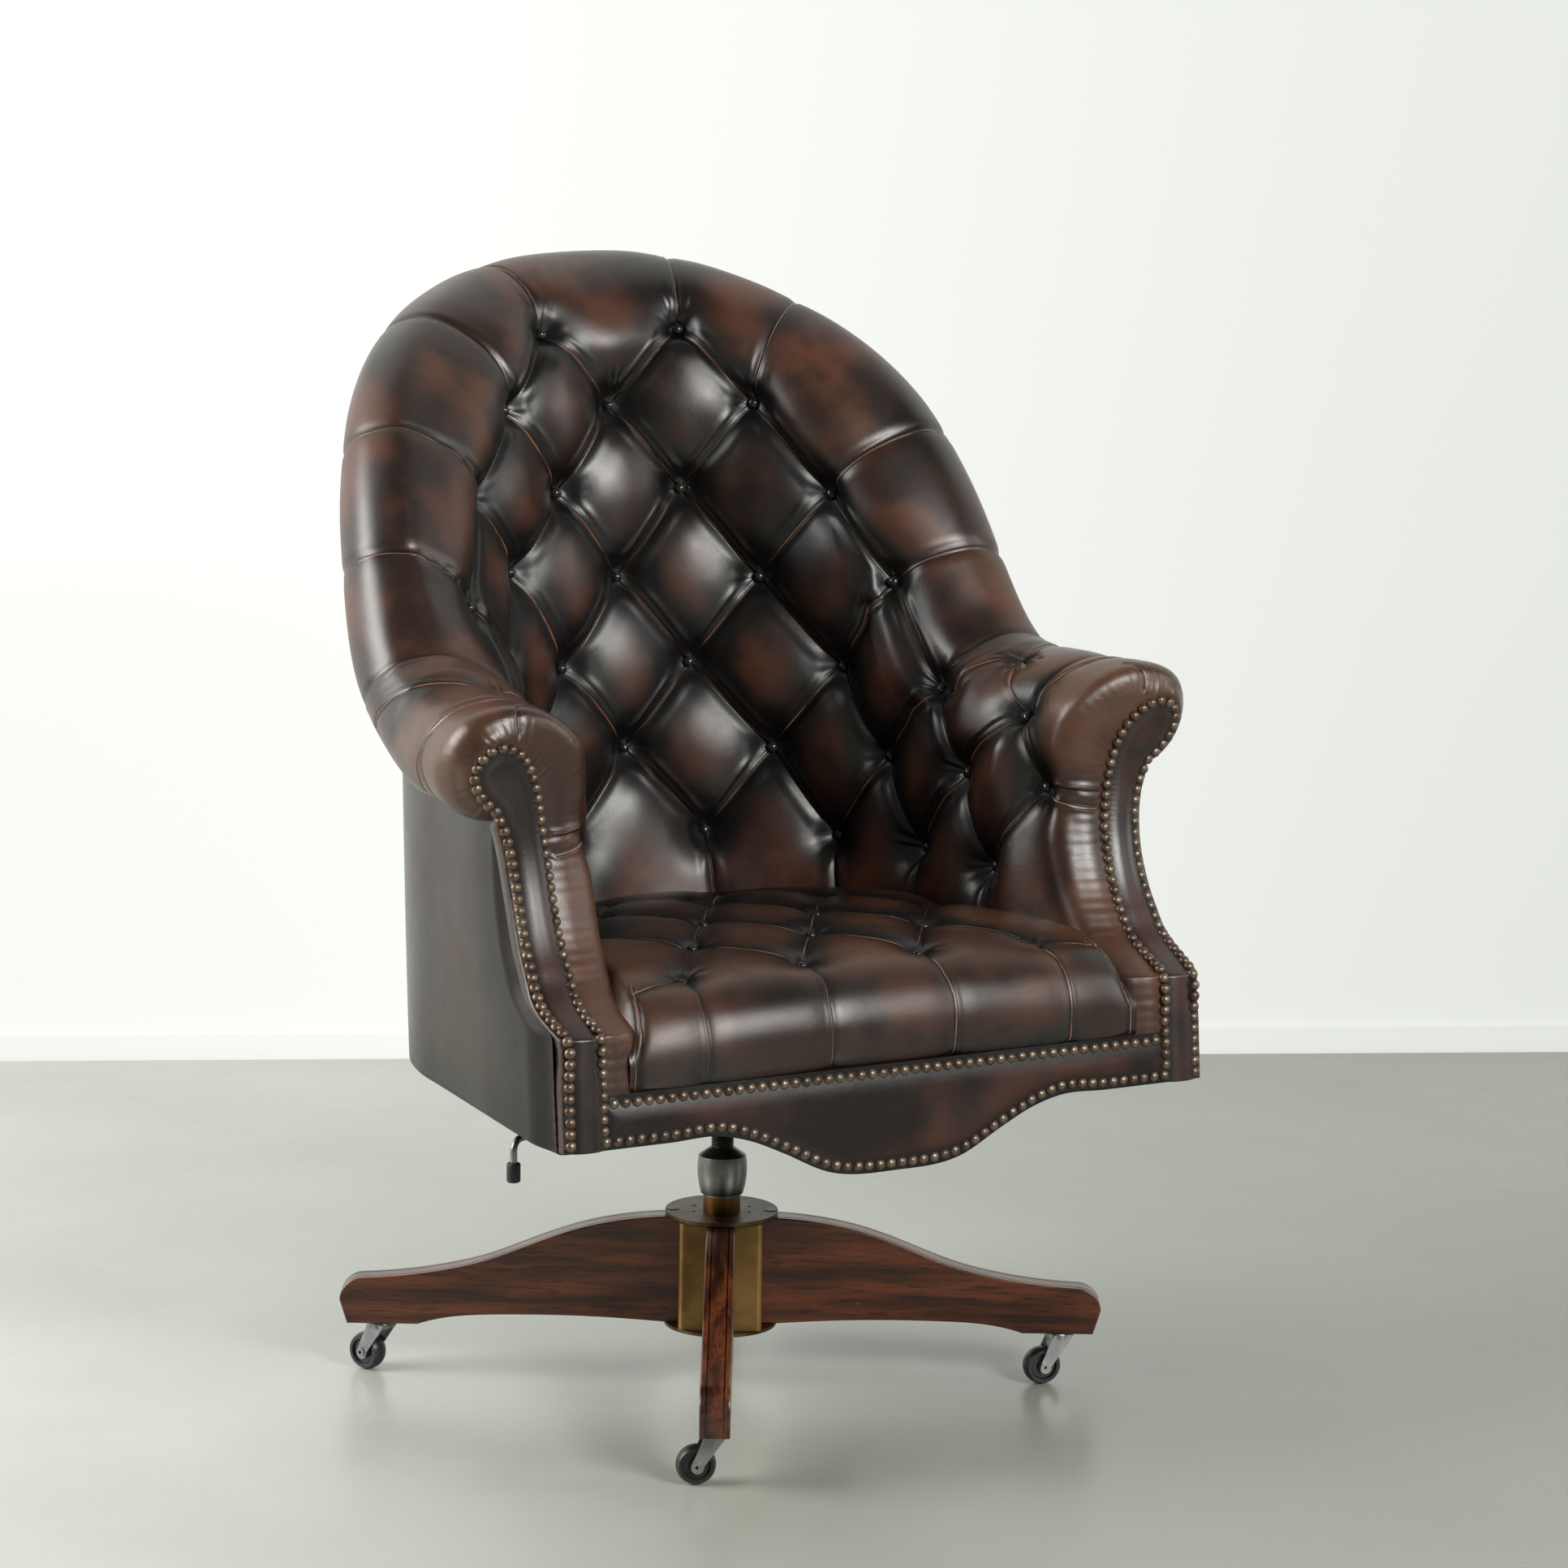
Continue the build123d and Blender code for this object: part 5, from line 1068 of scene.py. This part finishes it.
nails = []
for side in (1, -1):
    nails += nailed(outerRow, side)[:-1]
    nails += nailed(innerRow + scrollRow, side)
x = np.linspace(-285, 285, 40)
topRow = np.stack([x, frontY(371.0) + 0 * x, 371.0 + 0 * x], -1)
x = np.linspace(-328.3, 328.3, 200)
level = lobe(x, 338.0)
lowRow = np.stack([x, frontPlane(level), level + 1.6 * swell(np.abs(x), 178, 26)], -1)
for row, length in ((topRow, 570), (lowRow, along(lowRow)[-1])):
    nails += [(p, (0, -1, frontSlope)) for p in spaced(row, int(round(length / nailRows["apronPitch"])) + 1)]
domes("decorative_nails", nails, nailRows["radius"], nailRows["high"], "seat",
      finishes["nail_brass"])
print("stage: nails", len(nails))

# The outside of the tub: fullness out of the cover's line, and the edge turned in below as out and down
outside = {"stations": 420, "rows": 70, "bottom": 331.5, "full": (1.1, 1.6), "past": 4, "short": 4.5,
           "turned": ((1.5, 2.2), (5.0, 3.2), (16.0, 3.0))}


def outsideSheet():
    # from under the roll down to the bottom edge, 1.1 + 1.6 sin(pi t)^0.7 full, and turned in below
    last = lastStation + outside["past"]
    run = np.linspace(-last, last, outside["stations"])
    t = np.linspace(0, 1, outside["rows"])[:, None]
    slope, metric = rimSlope(run)
    top = rimLevel(run) - rollRadius * 0.97 * np.sqrt(1 + slope ** 2) * 0.98 + 3
    level = top * (1 - t) + (outside["bottom"] - 0.5) * t
    out = coverOut(run) + outside["full"][0] + outside["full"][1] * np.sin(np.pi * t) ** 0.7 + 0 * level
    stretched = toFront(run + 0 * level, np.clip(level, 331, 620), last, outside["short"])
    inward, down = np.array(outside["turned"]).T[:, :, None]
    inner = wallPoint(stretched[-1:], out[-1:] - inward, outside["bottom"] - down + 0 * run)
    points = np.concatenate([wallPoint(stretched, out, level), inner])
    share = np.concatenate([t + 0 * run, np.ones((len(down), len(run)))])
    side = np.abs(np.linspace(-1, 1, len(run)))[None, :] + 0 * share
    # painted shade: darker just under the roll and on the front part, where the sheen is turned down too;
    # also darker towards the bottom edge
    rub_and_shade = (0.35 + 0.5 * smoothStep(0.85, 1.0, share) + 0.3 * smoothStep(0.12, 0.0, share)
           + 0.25 * smoothStep(0.72, 0.9, side))
    worn = 0.5 * smoothStep(0.993, 1.0, side) * smoothStep(0.6, 1.0, share)
    return putMesh("outside_leather", points, gridQuads(*points.shape[:2])[:, ::-1],
                   {"rub_and_shade": rub_and_shade, "worn": worn, "polish": 1 - 0.62 * smoothStep(0.68, 0.9, side)})


finished(outsideSheet(), "seat", finishes["outer_hide"], ("outside_cover",))
print("stage: outside")

# The screw of the column, threaded over its whole length up to the shoulder
oiled = finishes["oiled_steel"]
screw = {"lead": 2.5, "core": 9.8, "journal": 9.5, "shoulder": 262.0, "around": 40}
spring = {"turns": 7, "wire": 2.0, "split": 0.3, "steps": 200, "around": 12}


def nodeBox(name):
    # a node's lowest and highest corner in millimetres
    return [np.array(corner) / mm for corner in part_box(name)]


def threadedScrew(name):
    # radius = core + (radius - core) times a rounded triangle of (height/lead - angle/2pi); journal plain
    low, high = nodeBox("spindle")
    radius, journal, shoulder, lead = high[0], screw["journal"], screw["shoulder"], screw["lead"]
    turn = np.arange(screw["around"]) * 2 * np.pi / screw["around"]
    z = np.linspace(low[2] + 1, shoulder - 2, int((shoulder - low[2]) / lead * 8))[:, None]
    phase = (z / lead - turn / (2 * np.pi)) % 1.0
    fade = smoothStep(0, 3, z - low[2] - 1) * smoothStep(0, 2, shoulder - 2 - z)
    wave = np.clip(1.35 * (1 - np.abs(2 * phase - 1)), 0, 1)
    r = radius - (radius - screw["core"]) * (1 - wave) * fade
    z = np.concatenate([[[low[2]]] * 2, z, [[shoulder], [shoulder], [high[2]], [high[2]]]])
    plainRings = np.array([0.0, radius - 1, radius, journal, journal, 0.0])[:, None] + 0 * turn
    r = np.concatenate([plainRings[:2], r, plainRings[2:]])
    return putMesh(name, np.stack([r * np.cos(turn), r * np.sin(turn), z + 0 * turn], -1),
                   gridQuads(len(z), screw["around"], True))


finished(threadedScrew("threaded_spindle"), "column", oiled, ("spindle",))

# The tension spring, in two parts: the lower one goes with the bracket, the upper one is put on no body
springLow, springHigh = nodeBox("tension_spring")
springMiddle, springReach = (springLow + springHigh) / 2, (springHigh[0] - springLow[0]) / 2 - spring["wire"]
springRise = springHigh[2] - springLow[2] - 2 * spring["wire"]


def coil(name, first, last):
    # the wire's middle at (R cos a, y + R sin a, z), a ring square to it: wire (cos b n + sin b t x n)
    steps, around, wire = spring["steps"], spring["around"], spring["wire"]
    share = np.linspace(first, last, steps)
    angle = share * spring["turns"] * 2 * np.pi
    cos, sin, zero = np.cos(angle), np.sin(angle), 0 * angle
    path = np.stack([springMiddle[0] + springReach * cos, springMiddle[1] + springReach * sin,
                     springLow[2] + wire + springRise * share], -1)
    out = np.stack([cos, sin, zero], -1)
    climb = springRise / (spring["turns"] * 2 * np.pi)
    forward = np.stack([-springReach * sin, springReach * cos, zero + climb], -1)
    forward /= np.linalg.norm(forward, axis=1)[:, None]
    turn = np.arange(around) * 2 * np.pi / around
    size = np.where((share == first) | (share == last), 0.0, wire)
    size[[1, -2]] = wire
    path[0], path[-1] = path[1], path[-2]
    square = np.cross(forward, out)[:, None]
    ring = np.cos(turn)[None, :, None] * out[:, None] + np.sin(turn)[None, :, None] * square
    return putMesh(name, path[:, None] + ring * size[:, None, None], gridQuads(steps, around, True))


springAt = np.array([*springMiddle[:2], springLow[2] + spring["wire"] + springRise * spring["split"]]) * mm
springAt = tuple(map(float, springAt))
lowerCoil = coil("tension_spring_lower", 0.0, spring["split"])
finished(lowerCoil, "bracket", oiled)
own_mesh(lowerCoil)
upperCoil = coil("tension_spring_upper", spring["split"], 1.0)
upperCoil.data.materials.append(oiled)
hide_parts("tension_spring")
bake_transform(upperCoil)
print("stage: screw and spring")

# Stage, light and camera
room = {"wallTurn": 5.6, "wallAway": 1390, "wide": 6000, "behind": -7000, "high": 6000.0, "skirting": 32.0}
view = {"yaw": 29.89, "down": 9.69, "roll": 0.93, "eye": (-2.13228, -3.81731, 1.33278), "focal": 5734.08,
        "frame": 1932.0}
lamps = {  # place in metres, size, watts and colour; each is turned to a place in the chair
    "left_window": ((-3.6, 1.2, 2.2), (0.0, 0.1, 0.7), (2.4, 2.6), 240, (1.0, 1.0, 0.97)),
    "front_box": ((0.9, -4.3, 2.5), (0.0, 0.0, 0.7), (1.5, 1.2), 210, (1.0, 0.99, 0.95)),
    "right_strip": ((3.2, -1.9, 1.5), (0.0, 0.0, 0.7), (0.8, 1.8), 26, (1.0, 0.99, 0.95))}
yaw, down, roll = (math.radians(view[key]) for key in ("yaw", "down", "roll"))


def backdrop():
    # a wide floor, a wall across its far edge, turned 5.6 degrees off the view's square, and a low skirting
    turn, wide = math.radians(room["wallTurn"]), room["wide"]
    ahead, right = np.array([math.sin(yaw), math.cos(yaw)]), np.array([math.cos(yaw), -math.sin(yaw)])
    way = right * math.cos(turn) + ahead * math.sin(turn)
    far, behind = ahead * room["wallAway"], ahead * room["behind"]
    edge = [far + way * wide, far - way * wide]
    low = [e - ahead * 14 for e in edge]
    near, high, top = [behind - way * wide, behind + way * wide], room["high"], room["skirting"]
    ground = putMesh("floor", [(*c, 0.0) for c in near + edge], [(0, 1, 2, 3)])
    wall = putMesh("wall", [(*edge[1], 0.0), (*edge[0], 0.0), (*edge[0], high), (*edge[1], high)],
                   [(0, 1, 2, 3)])
    skirting = putMesh("skirting", [(*low[1], 0.0), (*low[0], 0.0), (*low[0], top), (*low[1], top),
                                    (*edge[0], top), (*edge[1], top)], [(0, 1, 2, 3), (3, 2, 4, 5)])
    return ground, wall, skirting


def acrossRoom(s, low, high):
    # share of the way from the room's left to its right, from low to high metres
    part = s.tree.nodes.new("ShaderNodeVectorMath")
    part.operation = "DOT_PRODUCT"
    s.put(part.inputs[0], s.place)
    part.inputs[1].default_value = (0.867, -0.498, 0.0)
    return s.between(part.outputs["Value"], low, high)


def paleStone():
    # polished screed: cloudy grey, faint streaks and a soft sheen, with painted shade that darkens it to the
    # right
    s = Shade("pale_floor")
    cloud = s.noise(2.2, 6.0, 0.62)
    streak = s.noise(3.0, 3.0, 0.55, place=s.stretched((1.0, 4.0, 1.0), (0.0, 0.0, 0.5)))
    body = s.mix(s.between(cloud, 0.3, 0.7), tone(178, 181, 172), tone(190, 193, 184))
    body = s.mix(s.between(streak, 0.50, 0.75, 0.0, 0.25), body, tone(184, 186, 179))
    # painted shade: darker towards the room's right, where less light falls
    body = s.mix(s.times(acrossRoom(s, -1.0, 0.6), 0.7), body, tone(106, 109, 101))
    s.set(Base_Color=body, Roughness=s.plus(s.times(s.noise(9.0), 0.14), 0.22),
          Normal=s.bump(s.noise(3.0, 2.0, 0.5), 0.03, 0.01))
    return s.material


def glowingWall(name, glow):
    # wall whose glow is painted light, less to the right; from behind it is clear, so that it hides nothing
    s = Shade(name)
    s.set(Base_Color=tone(128, 130, 128), Roughness=0.8, Normal=s.bump(s.noise(160.0, 3.0), 0.03, 0.0005),
          Emission_Color=s.mix(acrossRoom(s, -0.9, 1.3), (0.74, 0.75, 0.73, 1), (0.52, 0.535, 0.515, 1)),
          Emission_Strength=glow)
    clear = s.tree.nodes.new("ShaderNodeBsdfTransparent").outputs[0]
    behind = s.tree.nodes.new("ShaderNodeNewGeometry").outputs["Backfacing"]
    either = s.tree.nodes.new("ShaderNodeMixShader")
    for socket, value in zip(either.inputs, (behind, s.shader.outputs[0], clear)):
        s.put(socket, value)
    s.put(s.out.inputs[0], either.outputs[0])
    return s.material


# the skirting glows a little less than the wall: a painted shade line along the wall's foot
stageLooks = (paleStone(), glowingWall("wall_painted_glow", 1.0), glowingWall("skirting_painted_glow", 0.93))
for obj, material in zip(backdrop(), stageLooks):
    obj.data.materials.append(material)

world = bpy.data.worlds.new("studio")  # a weak light, and pale where the camera sees it past the wall
world.use_nodes = True
sky = world.node_tree
weak, pale = sky.nodes["Background"], sky.nodes.new("ShaderNodeBackground")
weak.inputs[0].default_value = (0.97, 1.0, 0.95, 1)
weak.inputs[1].default_value = 0.13
pale.inputs[0].default_value = (0.70, 0.71, 0.69, 1)
either = sky.nodes.new("ShaderNodeMixShader")
seen = sky.nodes.new("ShaderNodeLightPath").outputs["Is Camera Ray"]
for socket, value in zip(either.inputs, (seen, weak.outputs[0], pale.outputs[0])):
    sky.links.new(value, socket)
sky.links.new(either.outputs[0], sky.nodes["World Output"].inputs[0])
bpy.context.scene.world = world


def softLight(name, place, aim, size, power, colour):
    # a rectangular lamp turned towards a place
    lamp = bpy.data.lights.new(name, "AREA")
    lamp.shape, lamp.size, lamp.size_y, lamp.energy, lamp.color = "RECTANGLE", size[0], size[1], power, colour
    obj = bpy.data.objects.new(name, lamp)
    obj.location = place
    obj.rotation_euler = (Vector(aim) - Vector(place)).to_track_quat("-Z", "Y").to_euler()
    bpy.context.scene.collection.objects.link(obj)


for name, setting in lamps.items():
    softLight(name, *setting)

camera = bpy.data.cameras.new("view")
camera.sensor_width = 36.0
camera.lens = view["focal"] * camera.sensor_width / view["frame"]
camera.clip_end = 50
eye = bpy.data.objects.new("view", camera)
ahead = Vector((math.sin(yaw) * math.cos(down), math.cos(yaw) * math.cos(down), -math.sin(down)))
right = Vector((math.cos(yaw), -math.sin(yaw), 0))
up = right.cross(ahead)
turnedRight = math.cos(roll) * right + math.sin(roll) * up
turnedUp = -math.sin(roll) * right + math.cos(roll) * up
rows = [(turnedRight[k], turnedUp[k], -ahead[k], view["eye"][k]) for k in range(3)]
eye.matrix_world = Matrix(rows + [(0, 0, 0, 1)])
bpy.context.scene.collection.objects.link(eye)
bpy.context.scene.camera = eye
bpy.context.scene.view_settings.view_transform = "Standard"
